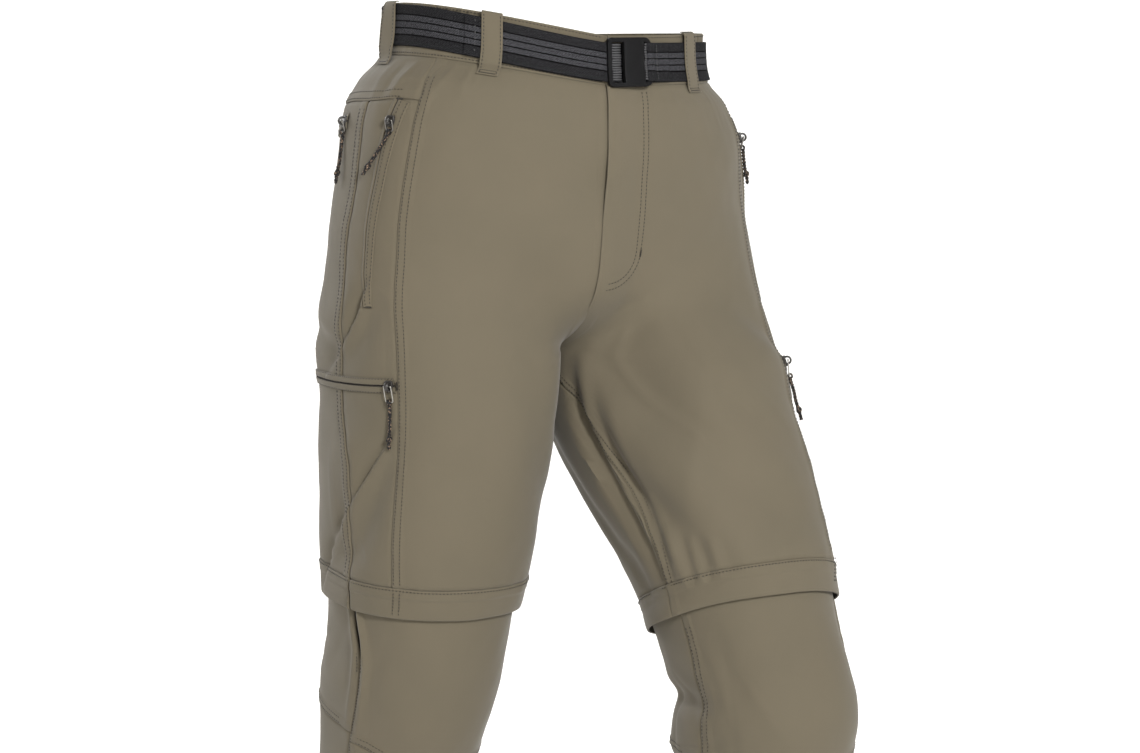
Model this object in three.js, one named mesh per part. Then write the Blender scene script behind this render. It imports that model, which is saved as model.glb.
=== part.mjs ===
// Convertible zip-off trousers, worn form, hollow, with their own webbing belt.
// Millimetres, +Z up, origin at the middle of the waist. The front faces -Y and
// the wearer's left is +X. "drop" is the distance down the cloth from the waist's
// top edge. "turn" runs round one side: 0 at centre front and inseam, 0.5 at the
// outer side, 1 at centre back and inseam again.
import * as THREE from "three";

// driving dimensions
const WALL = 1.6;
const SEAM_GAP = 0.3;
const BAND_HEIGHT = 45;
const CROTCH_DROP = 300;
const FRONT_RISE_START = 190;
const BACK_RISE_START = 130;
const HEM_BAND_TOP = 498;
const HEM_BAND_BOTTOM = 526;
const LOWER_LEG_TOP = 518;
const LOWER_LEG_INSET = 4;
const KNEE_DROP = 612;
const FRONT_KNEE_SEAM = 668;
const BACK_KNEE_SEAM = 647;
const ANKLE_DROP = 1045;
const FLY_BOTTOM = 236;
const FLY_LAP = 4;
const FLY_LIFT = 2.3;
const BELT_WIDTH = 36;
const BELT_THICK = 2;
const HIP_HALF_WIDTH = 92;
const HIP_JOINT_DROP = 170;

// round of the waist is about 860, of the hip about 1060
const CUT = [
  { drop: 0, hipW: 148, hipF: 112, hipB: 111, legX: 92, legY: 0, legW: 92, legD: 108 },
  { drop: 26, hipW: 149, hipF: 113, hipB: 113, legX: 92, legY: 0, legW: 92, legD: 109 },
  { drop: 45, hipW: 153, hipF: 115, hipB: 117, legX: 92, legY: 0, legW: 92, legD: 110 },
  { drop: 66, hipW: 172, hipF: 118, hipB: 130, legX: 93, legY: 0, legW: 93, legD: 110 },
  { drop: 100, hipW: 187, hipF: 118, hipB: 141, legX: 94, legY: 0, legW: 94, legD: 110 },
  { drop: 150, hipW: 195, hipF: 113, hipB: 146, legX: 96, legY: 1, legW: 96, legD: 110 },
  { drop: 200, hipW: 202, hipF: 107, hipB: 150, legX: 98, legY: 3, legW: 98, legD: 110 },
  { drop: 250, hipW: 207, hipF: 102, hipB: 150, legX: 100, legY: 3, legW: 100, legD: 110 },
  { drop: 300, hipW: 207, hipF: 98, hipB: 145, legX: 101, legY: 3, legW: 100, legD: 110 },
  { drop: 360, hipW: 207, hipF: 98, hipB: 141, legX: 102, legY: 2, legW: 99, legD: 108 },
  { drop: 430, hipW: 207, hipF: 98, hipB: 141, legX: 104, legY: 0, legW: 96, legD: 104 },
  { drop: 500, hipW: 207, hipF: 98, hipB: 141, legX: 107, legY: -1, legW: 89, legD: 98 },
  { drop: 530, hipW: 207, hipF: 98, hipB: 141, legX: 107, legY: 2, legW: 84, legD: 91 },
  { drop: 612, hipW: 207, hipF: 98, hipB: 141, legX: 106, legY: 12, legW: 76, legD: 86 },
  { drop: 680, hipW: 207, hipF: 98, hipB: 141, legX: 105, legY: 15, legW: 70, legD: 78 },
  { drop: 800, hipW: 207, hipF: 98, hipB: 141, legX: 105, legY: 15, legW: 68, legD: 74 },
  { drop: 940, hipW: 207, hipF: 98, hipB: 141, legX: 105, legY: 11, legW: 66, legD: 71 },
  { drop: 1045, hipW: 207, hipF: 98, hipB: 141, legX: 105, legY: 9, legW: 65, legD: 70 },
];

// how each leg stands: degrees forward and out at the hip, and bent at the knee
const SIDES = {
  right: { sign: -1, forward: -7, out: -0.5, knee: 13, lower: 0, rise: 27, girth: 1, hemTilt: 0 },
  left: { sign: 1, forward: 18, out: 7.3, knee: 21, lower: 32, rise: 4, girth: 0.95, hemTilt: 9 },
};

const STATIONS = [
  26, 45, 56, 68, 80, 104, 122, 142, 165, 190, 212, 232, 250, 266, 280, 291, 300, 315, 335, 358, 382,
  406, 430, 454, 478, 502, 526, 548, 570, 594, 618, 642, 666, 700, 750, 810, 880, 960, 1045,
];

// seams down the side of each leg, as turns at a drop
const SIDE_FRONT_SEAM = [
  { drop: 45, turn: 0.358 },
  { drop: 88, turn: 0.341 },
  { drop: 160, turn: 0.347 },
  { drop: 205, turn: 0.354 },
  { drop: 260, turn: 0.374 },
  { drop: 330, turn: 0.384 },
  { drop: 420, turn: 0.384 },
  { drop: 560, turn: 0.381 },
];
const OUTSEAM = [
  { drop: 45, turn: 0.505 },
  { drop: 100, turn: 0.49 },
  { drop: 150, turn: 0.489 },
  { drop: 200, turn: 0.497 },
  { drop: 256, turn: 0.484 },
  { drop: 340, turn: 0.486 },
  { drop: 400, turn: 0.464 },
  { drop: 500, turn: 0.468 },
  { drop: 528, turn: 0.464 },
  { drop: 572, turn: 0.45 },
  { drop: 668, turn: 0.46 },
  { drop: 1045, turn: 0.48 },
];
const INSEAM = [
  { drop: 0, right: 0, left: 0 },
  { drop: 300, right: 0, left: 0 },
  { drop: 345, right: 0, left: 0.045 },
  { drop: 400, right: 0, left: 0.055 },
  { drop: 500, right: 0, left: 0.032 },
  { drop: 620, right: 0, left: 0.034 },
  { drop: 1045, right: 0, left: 0.02 },
];

// folds of the worn cloth, from one place to another: half width and height outwards
const FOLDS = {
  right: [
    { turn: 0.4, drop: 238, toTurn: 0.5, toDrop: 320, width: 13, height: -4 },
    { turn: 0.43, drop: 222, toTurn: 0.55, toDrop: 300, width: 22, height: 4 },
    { turn: 0.48, drop: 298, toTurn: 0.66, toDrop: 276, width: 13, height: -4 },
    { turn: 0.38, drop: 350, toTurn: 0.46, toDrop: 488, width: 13, height: -5 },
    { turn: 0.43, drop: 340, toTurn: 0.52, toDrop: 470, width: 24, height: 4 },
    { turn: 0.44, drop: 466, toTurn: 0.58, toDrop: 512, width: 14, height: -4 },
    { turn: 0.2, drop: 330, toTurn: 0.26, toDrop: 500, width: 34, height: 3 },
    { turn: 0.62, drop: 310, toTurn: 0.94, toDrop: 345, width: 16, height: -5 },
    { turn: 0.6, drop: 395, toTurn: 0.86, toDrop: 372, width: 20, height: -4 },
    { turn: 0.62, drop: 600, toTurn: 0.96, toDrop: 590, width: 16, height: -6 },
    { turn: 0.6, drop: 622, toTurn: 0.94, toDrop: 618, width: 18, height: 4 },
    { turn: 0.6, drop: 640, toTurn: 0.92, toDrop: 655, width: 16, height: -5 },
    { turn: 0.4, drop: 292, toTurn: 0.76, toDrop: 278, width: 44, height: 6 },
    { turn: 0.42, drop: 640, toTurn: 0.84, toDrop: 640, width: 62, height: 9 },
  ],
  left: [
    { turn: 0.03, drop: 262, toTurn: 0.21, toDrop: 505, width: 24, height: 5 },
    { turn: 0.01, drop: 300, toTurn: 0.13, toDrop: 505, width: 14, height: -5 },
    { turn: 0.1, drop: 262, toTurn: 0.27, toDrop: 480, width: 22, height: -4 },
    { turn: 0.26, drop: 258, toTurn: 0.43, toDrop: 316, width: 14, height: -3 },
    { turn: 0.93, drop: 330, toTurn: 0.98, toDrop: 505, width: 13, height: -5 },
    { turn: 0.4, drop: 350, toTurn: 0.48, toDrop: 480, width: 15, height: -4 },
    { turn: 0.62, drop: 330, toTurn: 0.9, toDrop: 375, width: 18, height: -5 },
    { turn: 0.6, drop: 420, toTurn: 0.86, toDrop: 400, width: 20, height: -4 },
    { turn: -0.05, drop: 640, toTurn: 0.5, toDrop: 640, width: 62, height: 20 },
    { turn: 0.7, drop: 610, toTurn: 1.1, toDrop: 610, width: 62, height: 7 },
    { turn: 0.7, drop: 588, toTurn: 1.06, toDrop: 590, width: 15, height: -7 },
    { turn: 0.58, drop: 652, toTurn: 1.06, toDrop: 650, width: 30, height: 11 },
    { turn: 0.62, drop: 712, toTurn: 0.98, toDrop: 706, width: 18, height: -4 },
  ],
};

const clamp = THREE.MathUtils.clamp;
const mix = THREE.MathUtils.lerp;
const rad = THREE.MathUtils.degToRad;
const ramp = (from, to, value) => THREE.MathUtils.smoothstep(value, from, to);

// slope of a table's column at one row, never past its neighbours
function slopeAt(table, key, i) {
  const rise = (k) => (table[k + 1][key] - table[k][key]) / (table[k + 1].drop - table[k].drop);
  if (i === 0 || i === table.length - 1) {
    return rise(Math.min(i, table.length - 2));
  }
  const before = rise(i - 1);
  const after = rise(i);
  return before * after <= 0 ? 0 : (2 * before * after) / (before + after);
}

// smooth curve through the rows of a table, one named column
function column(table, key, drop) {
  let i = table.findIndex((row) => row.drop >= drop);
  i = i < 0 ? table.length - 1 : Math.max(i, 1);
  const low = table[i - 1];
  const high = table[i];
  const span = high.drop - low.drop;
  const u = clamp((drop - low.drop) / span, 0, 1);
  const leave = slopeAt(table, key, i - 1) * span;
  const arrive = slopeAt(table, key, i) * span;
  const change = high[key] - low[key];
  const cubic = leave + arrive - 2 * change;
  const square = 3 * change - 2 * leave - arrive;
  return low[key] + u * (leave + u * (square + u * cubic));
}

const squarish = (value, power) => Math.sign(value) * Math.abs(value) ** power;
const HIP_SQUARE = 2 / 2.25;
const LEG_SQUARE = 2 / 2.25;

// share of the way from hip ring to leg ring: quick at the crotch seam, gentle elsewhere
function closing(turn, drop) {
  const front = clamp((drop - FRONT_RISE_START) / (CROTCH_DROP - FRONT_RISE_START), 0, 1) ** 4;
  const back = clamp((drop - BACK_RISE_START) / (CROTCH_DROP - BACK_RISE_START), 0, 1) ** 2.4;
  const frontSide = mix(front, ramp(170, 350, drop), ramp(0, 0.16, turn));
  const backSide = mix(back, ramp(110, 350, drop), ramp(0, 0.16, 1 - turn));
  return mix(frontSide, backSide, ramp(0.1, 0.9, turn));
}

// the cut before the legs are moved: half a hip ring that closes into a leg ring
function cutPoint(side, turn, drop) {
  const at = (key) => column(CUT, key, drop);
  const half = Math.PI * turn;
  const depth = turn < 0.5 ? at("hipF") : at("hipB");
  const hipX = at("hipW") * squarish(Math.sin(half), HIP_SQUARE);
  const hipY = -depth * squarish(Math.cos(half), HIP_SQUARE);
  const round = 2 * Math.PI * turn;
  const inner = at("legX") - at("legW");
  const legReach = at("legW") * (1 - squarish(Math.cos(round), LEG_SQUARE)) * side.girth;
  const legX = inner + legReach;
  const legY = at("legY") - at("legD") * squarish(Math.sin(round), LEG_SQUARE) * side.girth;
  const close = closing(turn, drop);
  const lift = -18 + side.rise * Math.abs(Math.sin(half)) + 3 * (1 - Math.cos(half));
  const x = mix(hipX, legX, close);
  const y = mix(hipY, legY, close);
  return new THREE.Vector3(side.sign * x, y, lift * (1 - ramp(0, 260, drop)) - drop);
}

// turn in the Y-Z plane about a level, forward positive
function swing(y, z, degrees) {
  const angle = rad(degrees);
  return [y * Math.cos(angle) + z * Math.sin(angle), z * Math.cos(angle) - y * Math.sin(angle)];
}

// bend at the knee, then the hip, both eased over the cloth round the joint
function stand(side, point) {
  const down = -point.z;
  const bend = -side.knee * ramp(KNEE_DROP - 90, KNEE_DROP + 70, down);
  const kneeY = -10;
  let [y, z] = swing(point.y - kneeY, point.z + KNEE_DROP, bend);
  y += kneeY;
  z += HIP_JOINT_DROP - KNEE_DROP;
  const top = mix(CROTCH_DROP - 10, 140, ramp(0, 80, Math.abs(point.x)));
  const share = ramp(top, top + 190, down);
  [y, z] = swing(y, z, side.forward * share);
  const spread = rad(side.out) * share;
  const x = side.sign * point.x - HIP_HALF_WIDTH;
  const outX = HIP_HALF_WIDTH + x * Math.cos(spread) - z * Math.sin(spread);
  const outZ = x * Math.sin(spread) + z * Math.cos(spread) - HIP_JOINT_DROP - side.lower * share;
  return new THREE.Vector3(side.sign * outX, y, outZ);
}

const MM_PER_TURN = 560;

// height of the folds at a place, positive outwards
function foldHeight(side, turn, drop) {
  let height = 0;
  for (const fold of side.folds) {
    const runX = (fold.toTurn - fold.turn) * MM_PER_TURN;
    const runY = fold.toDrop - fold.drop;
    const length = Math.hypot(runX, runY);
    const lap = drop > CROTCH_DROP - 10 ? Math.round(turn - (fold.turn + fold.toTurn) / 2) : 0;
    const px = (turn - lap - fold.turn) * MM_PER_TURN;
    const py = drop - fold.drop;
    const along = (px * runX + py * runY) / (length * length);
    const across = (px * runY - py * runX) / length;
    if (along > 0 && along < 1) {
      const taper = Math.sin(Math.PI * along) ** 0.7;
      height += fold.height * taper * Math.exp(-((across / fold.width) ** 2));
    }
  }
  const fromCentre = ramp(0, 0.06, Math.min(turn, 1 - turn));
  return height * mix(fromCentre, 1, ramp(CROTCH_DROP, CROTCH_DROP + 45, drop));
}
for (const name of Object.keys(SIDES)) {
  SIDES[name].folds = FOLDS[name];
}

const PROBE_TURN = 0.004;
const PROBE_DROP = 3;

function smoothPoint(side, turn, drop) {
  return stand(side, cutPoint(side, turn, drop));
}

function outward(side, turn, drop) {
  const across = smoothPoint(side, turn + PROBE_TURN, drop).sub(smoothPoint(side, turn - PROBE_TURN, drop));
  const down = smoothPoint(side, turn, drop + PROBE_DROP).sub(smoothPoint(side, turn, drop - PROBE_DROP));
  return down.cross(across).multiplyScalar(side.sign).normalize();
}

// a point at a height over the cloth's outer face
function clothPoint(side, turn, drop, height) {
  const normal = outward(side, turn, drop);
  return smoothPoint(side, turn, drop).addScaledVector(normal, height + foldHeight(side, turn, drop));
}

// how many turns make a millimetre at a place
function turnPerMm(side, turn, drop) {
  const a = smoothPoint(side, turn - PROBE_TURN, drop);
  const b = smoothPoint(side, turn + PROBE_TURN, drop);
  return (2 * PROBE_TURN) / a.distanceTo(b);
}

// closed wall between two grids of points, the first one outside
function wallGeometry(columns, rows, outerAt, innerAt, flipped) {
  const positions = [];
  const index = [];
  const count = (columns + 1) * (rows + 1);
  for (const at of [outerAt, innerAt]) {
    for (let row = 0; row <= rows; row += 1) {
      for (let col = 0; col <= columns; col += 1) {
        positions.push(...at(col, row).toArray());
      }
    }
  }
  const id = (layer, col, row) => layer * count + row * (columns + 1) + col;
  const face = (a, b, c, d) => {
    if (flipped) {
      index.push(a, c, b, a, d, c);
    } else {
      index.push(a, b, c, a, c, d);
    }
  };
  for (let row = 0; row < rows; row += 1) {
    for (let col = 0; col < columns; col += 1) {
      face(id(0, col, row), id(0, col, row + 1), id(0, col + 1, row + 1), id(0, col + 1, row));
      face(id(1, col, row), id(1, col + 1, row), id(1, col + 1, row + 1), id(1, col, row + 1));
    }
    face(id(0, 0, row), id(1, 0, row), id(1, 0, row + 1), id(0, 0, row + 1));
    face(id(0, columns, row), id(0, columns, row + 1), id(1, columns, row + 1), id(1, columns, row));
  }
  for (let col = 0; col < columns; col += 1) {
    face(id(0, col, 0), id(0, col + 1, 0), id(1, col + 1, 0), id(1, col, 0));
    face(id(0, col, rows), id(1, col, rows), id(1, col + 1, rows), id(0, col + 1, rows));
  }
  const geometry = new THREE.BufferGeometry();
  geometry.setAttribute("position", new THREE.Float32BufferAttribute(positions, 3));
  geometry.setIndex(index);
  geometry.computeVertexNormals();
  return geometry;
}

const trousers = new THREE.Group();
const FINISH = {
  cloth: new THREE.MeshStandardMaterial({ color: "#7a7260", roughness: 0.9 }),
  webbing: new THREE.MeshStandardMaterial({ color: "#2e2e2e", roughness: 0.85 }),
  plastic: new THREE.MeshStandardMaterial({ color: "#1c1c1c", roughness: 0.45 }),
  zip: new THREE.MeshStandardMaterial({ color: "#2a2622", roughness: 0.6 }),
  wire: new THREE.MeshStandardMaterial({ color: "#8c8a84", roughness: 0.3, metalness: 1 }),
  cord: new THREE.MeshStandardMaterial({ color: "#1d1a18", roughness: 0.8 }),
};

function addPiece(name, geometry, finish) {
  const piece = new THREE.Mesh(geometry, FINISH[finish].clone());
  piece.name = name;
  trousers.add(piece);
}

const constant = (value) => () => value;
const seam = (table) => (drop) => column(table, "turn", drop);
const inseam = (label, lap) => (drop) => lap + column(INSEAM, label, drop);

// a cut panel of one side between two seams and two levels, following the shared stations
function addPanel(name, side, shape) {
  const { from, to, top, bottom, columns } = shape;
  const base = shape.height ?? (() => 0);
  const wall = shape.wall ?? WALL;
  const finish = shape.finish ?? "cloth";
  const gap = shape.gap ?? SEAM_GAP / 2;
  const spread = [0, 0.25, 0.5, 0.75, 1];
  const highest = Math.max(...spread.map((u) => top(mix(from(top(0.5)), to(top(0.5)), u))));
  const lowest = Math.min(...spread.map((u) => bottom(mix(from(bottom(0.5)), to(bottom(0.5)), u))));
  const inside = STATIONS.filter((drop) => drop > highest + 4 && drop < lowest - 4);
  const rows = inside.length + 1;
  const place = (col, row) => {
    const u = col / columns;
    let drop = row === 0 ? highest : row === rows ? lowest : inside[row - 1];
    let turn = 0;
    for (let pass = 0; pass < 4; pass += 1) {
      turn = mix(from(drop), to(drop), u);
      if (row === 0) {
        drop = top(turn) + gap;
      }
      if (row === rows) {
        drop = bottom(turn) - gap;
      }
    }
    if (col === 0) {
      turn += gap * turnPerMm(side, turn, drop);
    }
    if (col === columns) {
      turn -= gap * turnPerMm(side, turn, drop);
    }
    return [turn, drop];
  };
  const layer = (depth) => (col, row) => {
    const [turn, drop] = place(col, row);
    return clothPoint(side, turn, drop, base(turn, drop) - depth);
  };
  const geometry = wallGeometry(columns, rows, layer(0), layer(wall), side.sign < 0);
  addPiece(name, geometry, finish);
}

// lower edge of the yoke, deepest at centre back
const yokeLine = (turn) => 80 + 4 * ramp(0.36, 0.5, turn) + 12 * ramp(0.5, 1, turn);

// seam and zip over the cargo pocket
const cargoLine = (turn) => 316 + 13 * ramp(0.38, 0.56, turn);
const bandBottom = constant(BAND_HEIGHT);

// the left front laps over the right one down to the end of the fly
const lapShare = (drop) => 1 - ramp(FLY_BOTTOM - 20, FLY_BOTTOM - 4, drop);
const liftShare = (drop) => 1 - ramp(FLY_BOTTOM, FLY_BOTTOM + 24, drop);

function flyEdge(side) {
  const lower = inseam("left", 0);
  return (drop) => lower(drop) - FLY_LAP * lapShare(drop) * turnPerMm(side, 0.01, drop);
}

function flyLift(side) {
  return (turn, drop) => {
    const fromCentre = turn / turnPerMm(side, 0.02, drop);
    return FLY_LIFT * liftShare(drop) * (1 - ramp(4, 40, fromCentre));
  };
}

// level round one leg that dips towards the outer side
const hemLine = (side, drop) => (turn) => drop - side.hemTilt * Math.cos(2 * Math.PI * turn);

function addShorts(label, side) {
  const laps = side.sign > 0;
  addPanel(`front_${label}`, side, {
    from: laps ? flyEdge(side) : inseam(label, 0),
    to: seam(SIDE_FRONT_SEAM),
    top: bandBottom,
    bottom: hemLine(side, HEM_BAND_TOP),
    columns: 10,
    height: laps ? flyLift(side) : undefined,
  });
  addPanel(`side_upper_${label}`, side, {
    from: seam(SIDE_FRONT_SEAM),
    to: seam(OUTSEAM),
    top: yokeLine,
    bottom: cargoLine,
    columns: 6,
  });
  addPanel(`cargo_${label}`, side, {
    from: seam(SIDE_FRONT_SEAM),
    to: seam(OUTSEAM),
    top: cargoLine,
    bottom: hemLine(side, HEM_BAND_TOP),
    columns: 6,
  });
  addPanel(`yoke_${label}`, side, {
    from: seam(SIDE_FRONT_SEAM),
    to: constant(1),
    top: bandBottom,
    bottom: yokeLine,
    columns: 22,
  });
  addPanel(`back_${label}`, side, {
    from: seam(OUTSEAM),
    to: inseam(label, 1),
    top: yokeLine,
    bottom: hemLine(side, HEM_BAND_TOP),
    columns: 12,
  });
}

// the band that hides the zip-off seam stands a little proud at its free lower edge
function addHemBand(label, side) {
  const top = hemLine(side, HEM_BAND_TOP);
  const bottom = hemLine(side, HEM_BAND_BOTTOM);
  const height = (turn, drop) => 0.4 + 2 * ramp(top(turn), bottom(turn), drop);
  const shared = { top, bottom, height };
  const front = { ...shared, from: inseam(label, 0), to: seam(OUTSEAM), columns: 12 };
  const back = { ...shared, from: seam(OUTSEAM), to: inseam(label, 1), columns: 12 };
  addPanel(`hem_band_front_${label}`, side, front);
  addPanel(`hem_band_back_${label}`, side, back);
}

const insetLeg = () => -LOWER_LEG_INSET;
const ZIP_OPENING = { from: 521, to: 580, half: 3 };

// the lower leg's outseam parts round its short side zip
function openSeam(direction, side) {
  return (drop) => {
    const mouth = ramp(LOWER_LEG_TOP - 1, ZIP_OPENING.from + 8, drop);
    const spread = ZIP_OPENING.half * mouth * (1 - ramp(ZIP_OPENING.to - 26, ZIP_OPENING.to, drop));
    const middle = column(OUTSEAM, "turn", drop);
    return middle + direction * spread * turnPerMm(side, middle, drop);
  };
}

function addLowerLeg(label, side) {
  const front = { from: inseam(label, 0), to: openSeam(-1, side), columns: 9, height: insetLeg };
  const back = { from: openSeam(1, side), to: inseam(label, 1), columns: 9, height: insetLeg };
  const top = hemLine(side, LOWER_LEG_TOP);
  const end = constant(ANKLE_DROP);
  const frontKnee = (turn) => FRONT_KNEE_SEAM - 12 * ramp(0.3, 0.46, turn);
  const backKnee = constant(BACK_KNEE_SEAM);
  addPanel(`knee_front_${label}`, side, { ...front, top, bottom: frontKnee });
  addPanel(`shin_front_${label}`, side, { ...front, top: frontKnee, bottom: end });
  addPanel(`knee_back_${label}`, side, { ...back, top, bottom: backKnee });
  addPanel(`calf_back_${label}`, side, { ...back, top: backKnee, bottom: end });
}

// zip tape that joins the lower leg to the shorts, behind the hem band
function addZipOff(label, side) {
  addPanel(`zip_off_${label}`, side, {
    from: constant(0),
    to: constant(1),
    top: hemLine(side, HEM_BAND_TOP + 3),
    bottom: hemLine(side, LOWER_LEG_TOP - 0.4),
    columns: 24,
    height: () => -2.4,
    wall: 1.2,
    finish: "zip",
  });
}

// gathers that the elastic draws into the side of the waistband
const GATHER = { from: 0.3, to: 0.7, waves: 6, depth: 1.6 };

function bandHeight(turn, drop) {
  const inGather = ramp(GATHER.from, GATHER.from + 0.05, turn) * (1 - ramp(GATHER.to - 0.05, GATHER.to, turn));
  const phase = ((turn - GATHER.from) / (GATHER.to - GATHER.from)) * GATHER.waves;
  const wave = 0.5 - 0.5 * Math.cos(2 * Math.PI * phase);
  return -GATHER.depth * inGather * wave * (1 - ramp(4, 34, drop));
}

function addWaistband(label, side) {
  addPanel(`waistband_${label}`, side, {
    from: constant(0),
    to: constant(1),
    top: constant(0),
    bottom: bandBottom,
    columns: 44,
    height: bandHeight,
    wall: 2,
  });
}

// round the whole waist: degrees from centre front towards the wearer's left
function roundWaist(degrees) {
  const around = ((degrees % 360) + 360) % 360;
  const side = around <= 180 ? SIDES.left : SIDES.right;
  const turn = around <= 180 ? around / 180 : 2 - around / 180;
  return { side, turn };
}

function waistPoint(degrees, drop, height) {
  const { side, turn } = roundWaist(degrees);
  return clothPoint(side, turn, drop, height);
}

// distance of the belt's top edge below the waist's top edge
function beltTop(degrees) {
  const { side, turn } = roundWaist(degrees);
  const low = side.sign > 0 ? 8 : 1.5;
  return mix(7, low, ramp(0.05, 0.5, turn));
}

// webbing round the waist between two directions, at heights over the band
function addWebbing(name, start, end, steps, heightAt, thick) {
  const at = (depth) => (col, row) => {
    const degrees = mix(start, end, col / steps);
    const drop = beltTop(degrees) + (row * BELT_WIDTH) / 2;
    return waistPoint(degrees, drop, heightAt(degrees) + thick - depth);
  };
  addPiece(name, wallGeometry(steps, 2, at(0), at(thick), false), "webbing");
}

const CLEAR = 0.45;
const BELT_CLEAR = 0.8;
const TAIL_HEIGHT = BELT_CLEAR + BELT_THICK + 0.4;
const TAIL_START = -52;
const BUCKLE = {
  centre: 4.6, width: 47, height: 46, above: 5, inner: 5.7, thick: 4.6, corner: 4,
  bar: 6.5, slot: 12, endSlot: 4, endBar: 4,
};

// direction that lies a distance along the belt from another
function alongWaist(degrees, distance) {
  const perDegree = (at) => waistPoint(at - 1, BELT_WIDTH / 2, 0).distanceTo(waistPoint(at + 1, BELT_WIDTH / 2, 0)) / 2;
  const halfway = degrees + distance / 2 / perDegree(degrees);
  return degrees + distance / perDegree(halfway);
}

// the strap's two ends meet under the buckle, and the free end lies over it
function addBelt() {
  const from = alongWaist(BUCKLE.centre, -18);
  const to = 360 + alongWaist(BUCKLE.centre, -28);
  const tailEnd = alongWaist(BUCKLE.centre, -8);
  addWebbing("belt_strap", from, to, 54, constant(BELT_CLEAR), BELT_THICK);
  addWebbing("belt_tail", TAIL_START, tailEnd, 12, constant(TAIL_HEIGHT), BELT_THICK);
}

// bend a flat piece (x along the belt, y down, z out) round the waist
function wrapRoundWaist(geometry, centre, top) {
  const position = geometry.getAttribute("position");
  for (let i = 0; i < position.count; i += 1) {
    const degrees = alongWaist(centre, position.getX(i));
    const drop = top + position.getY(i);
    const point = waistPoint(degrees, drop, position.getZ(i));
    position.setXYZ(i, point.x, point.y, point.z);
  }
  return flipFaces(geometry);
}

// turn a mirrored solid's faces out again
function flipFaces(geometry) {
  const plain = geometry.index ? geometry.toNonIndexed() : geometry;
  const position = plain.getAttribute("position");
  const corner = new THREE.Vector3();
  const other = new THREE.Vector3();
  for (let i = 0; i < position.count; i += 3) {
    corner.fromBufferAttribute(position, i + 1);
    other.fromBufferAttribute(position, i + 2);
    position.setXYZ(i + 1, other.x, other.y, other.z);
    position.setXYZ(i + 2, corner.x, corner.y, corner.z);
  }
  plain.computeVertexNormals();
  return plain;
}

function roundedBox(shape, x0, y0, x1, y1, r) {
  shape.moveTo(x0 + r, y0);
  shape.lineTo(x1 - r, y0);
  shape.absarc(x1 - r, y0 + r, r, -Math.PI / 2, 0, false);
  shape.lineTo(x1, y1 - r);
  shape.absarc(x1 - r, y1 - r, r, 0, Math.PI / 2, false);
  shape.lineTo(x0 + r, y1);
  shape.absarc(x0 + r, y1 - r, r, Math.PI / 2, Math.PI, false);
  shape.lineTo(x0, y0 + r);
  shape.absarc(x0 + r, y0 + r, r, Math.PI, 1.5 * Math.PI, false);
  return shape;
}

// moulded plate with a slot for the tail and a slot and bar for the fixed end
function addBuckle() {
  const half = BUCKLE.width / 2;
  const { above, corner, bar, slot, endSlot, endBar } = BUCKLE;
  const outline = roundedBox(new THREE.Shape(), -half, -above, half, BUCKLE.height - above, corner);
  const slotHole = (x0, x1) => roundedBox(new THREE.Path(), x0, -1, x1, BELT_WIDTH + 1, 1.5);
  outline.holes.push(slotHole(-half + bar, -half + bar + slot));
  outline.holes.push(slotHole(half - endBar - endSlot, half - endBar));
  const plate = new THREE.ExtrudeGeometry(outline, {
    depth: BUCKLE.thick,
    bevelEnabled: false,
    curveSegments: 3,
  });
  plate.translate(0, 0, BUCKLE.inner);
  addPiece("buckle", wrapRoundWaist(plate, BUCKLE.centre, beltTop(BUCKLE.centre)), "plastic");
}

const FOLD = { wall: 1.6, doubled: 3.2, length: 24, step: 8, clear: 0.5, slope: 2.5 };

// the fixed end of the belt, folded round the buckle's outer bar and stitched down
function addBeltFold() {
  const { wall, clear, slope } = FOLD;
  const end = BUCKLE.width / 2;
  const bar = end - BUCKLE.endBar;
  const low = TAIL_HEIGHT;
  const high = BUCKLE.inner + BUCKLE.thick + clear - 0.1;
  const fold = new THREE.Shape();
  fold.moveTo(end + FOLD.length, low);
  for (let along = FOLD.length - FOLD.step; along > 0; along -= FOLD.step) {
    fold.lineTo(end + along, low);
  }
  fold.lineTo(bar - clear - wall, low);
  fold.lineTo(bar - clear - wall, high + wall / 4);
  fold.lineTo(bar - clear, high + wall);
  fold.lineTo(end + clear, high + wall);
  fold.lineTo(end + clear + slope, high - wall / 2);
  for (let along = FOLD.step; along <= FOLD.length; along += FOLD.step) {
    fold.lineTo(end + along, low + FOLD.doubled);
  }
  fold.closePath();
  const inner = end + clear + 1;
  const hole = new THREE.Path();
  hole.moveTo(bar - clear, low + wall);
  hole.lineTo(inner, low + wall);
  hole.lineTo(inner, high - clear);
  hole.lineTo(end + clear, high);
  hole.lineTo(bar - clear, high);
  hole.closePath();
  fold.holes.push(hole);
  const geometry = new THREE.ExtrudeGeometry(fold, { depth: BELT_WIDTH, bevelEnabled: false, steps: 1 });
  const position = geometry.getAttribute("position");
  for (let i = 0; i < position.count; i += 1) {
    position.setXYZ(i, position.getX(i), BELT_WIDTH - position.getZ(i), position.getY(i));
  }
  addPiece("belt_fold", wrapRoundWaist(geometry, BUCKLE.centre, beltTop(BUCKLE.centre)), "webbing");
}

// belt loops, a strip sewn to the waistband above and below the belt
const LOOP = { width: 18, top: -1.5, bottom: 54, wall: 1.3, foot: 4, lift: 0.9, slope: 3, bend: 1 };
const LOOPS = [
  { name: "loop_front_right", degrees: -41, over: 5.8 },
  { name: "loop_front_left", degrees: 36, over: 3.4 },
  { name: "loop_side_right", degrees: -93, over: 3.4 },
  { name: "loop_side_left", degrees: 90, over: 3.4 },
  { name: "loop_back", degrees: 180, over: 3.4 },
];

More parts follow.
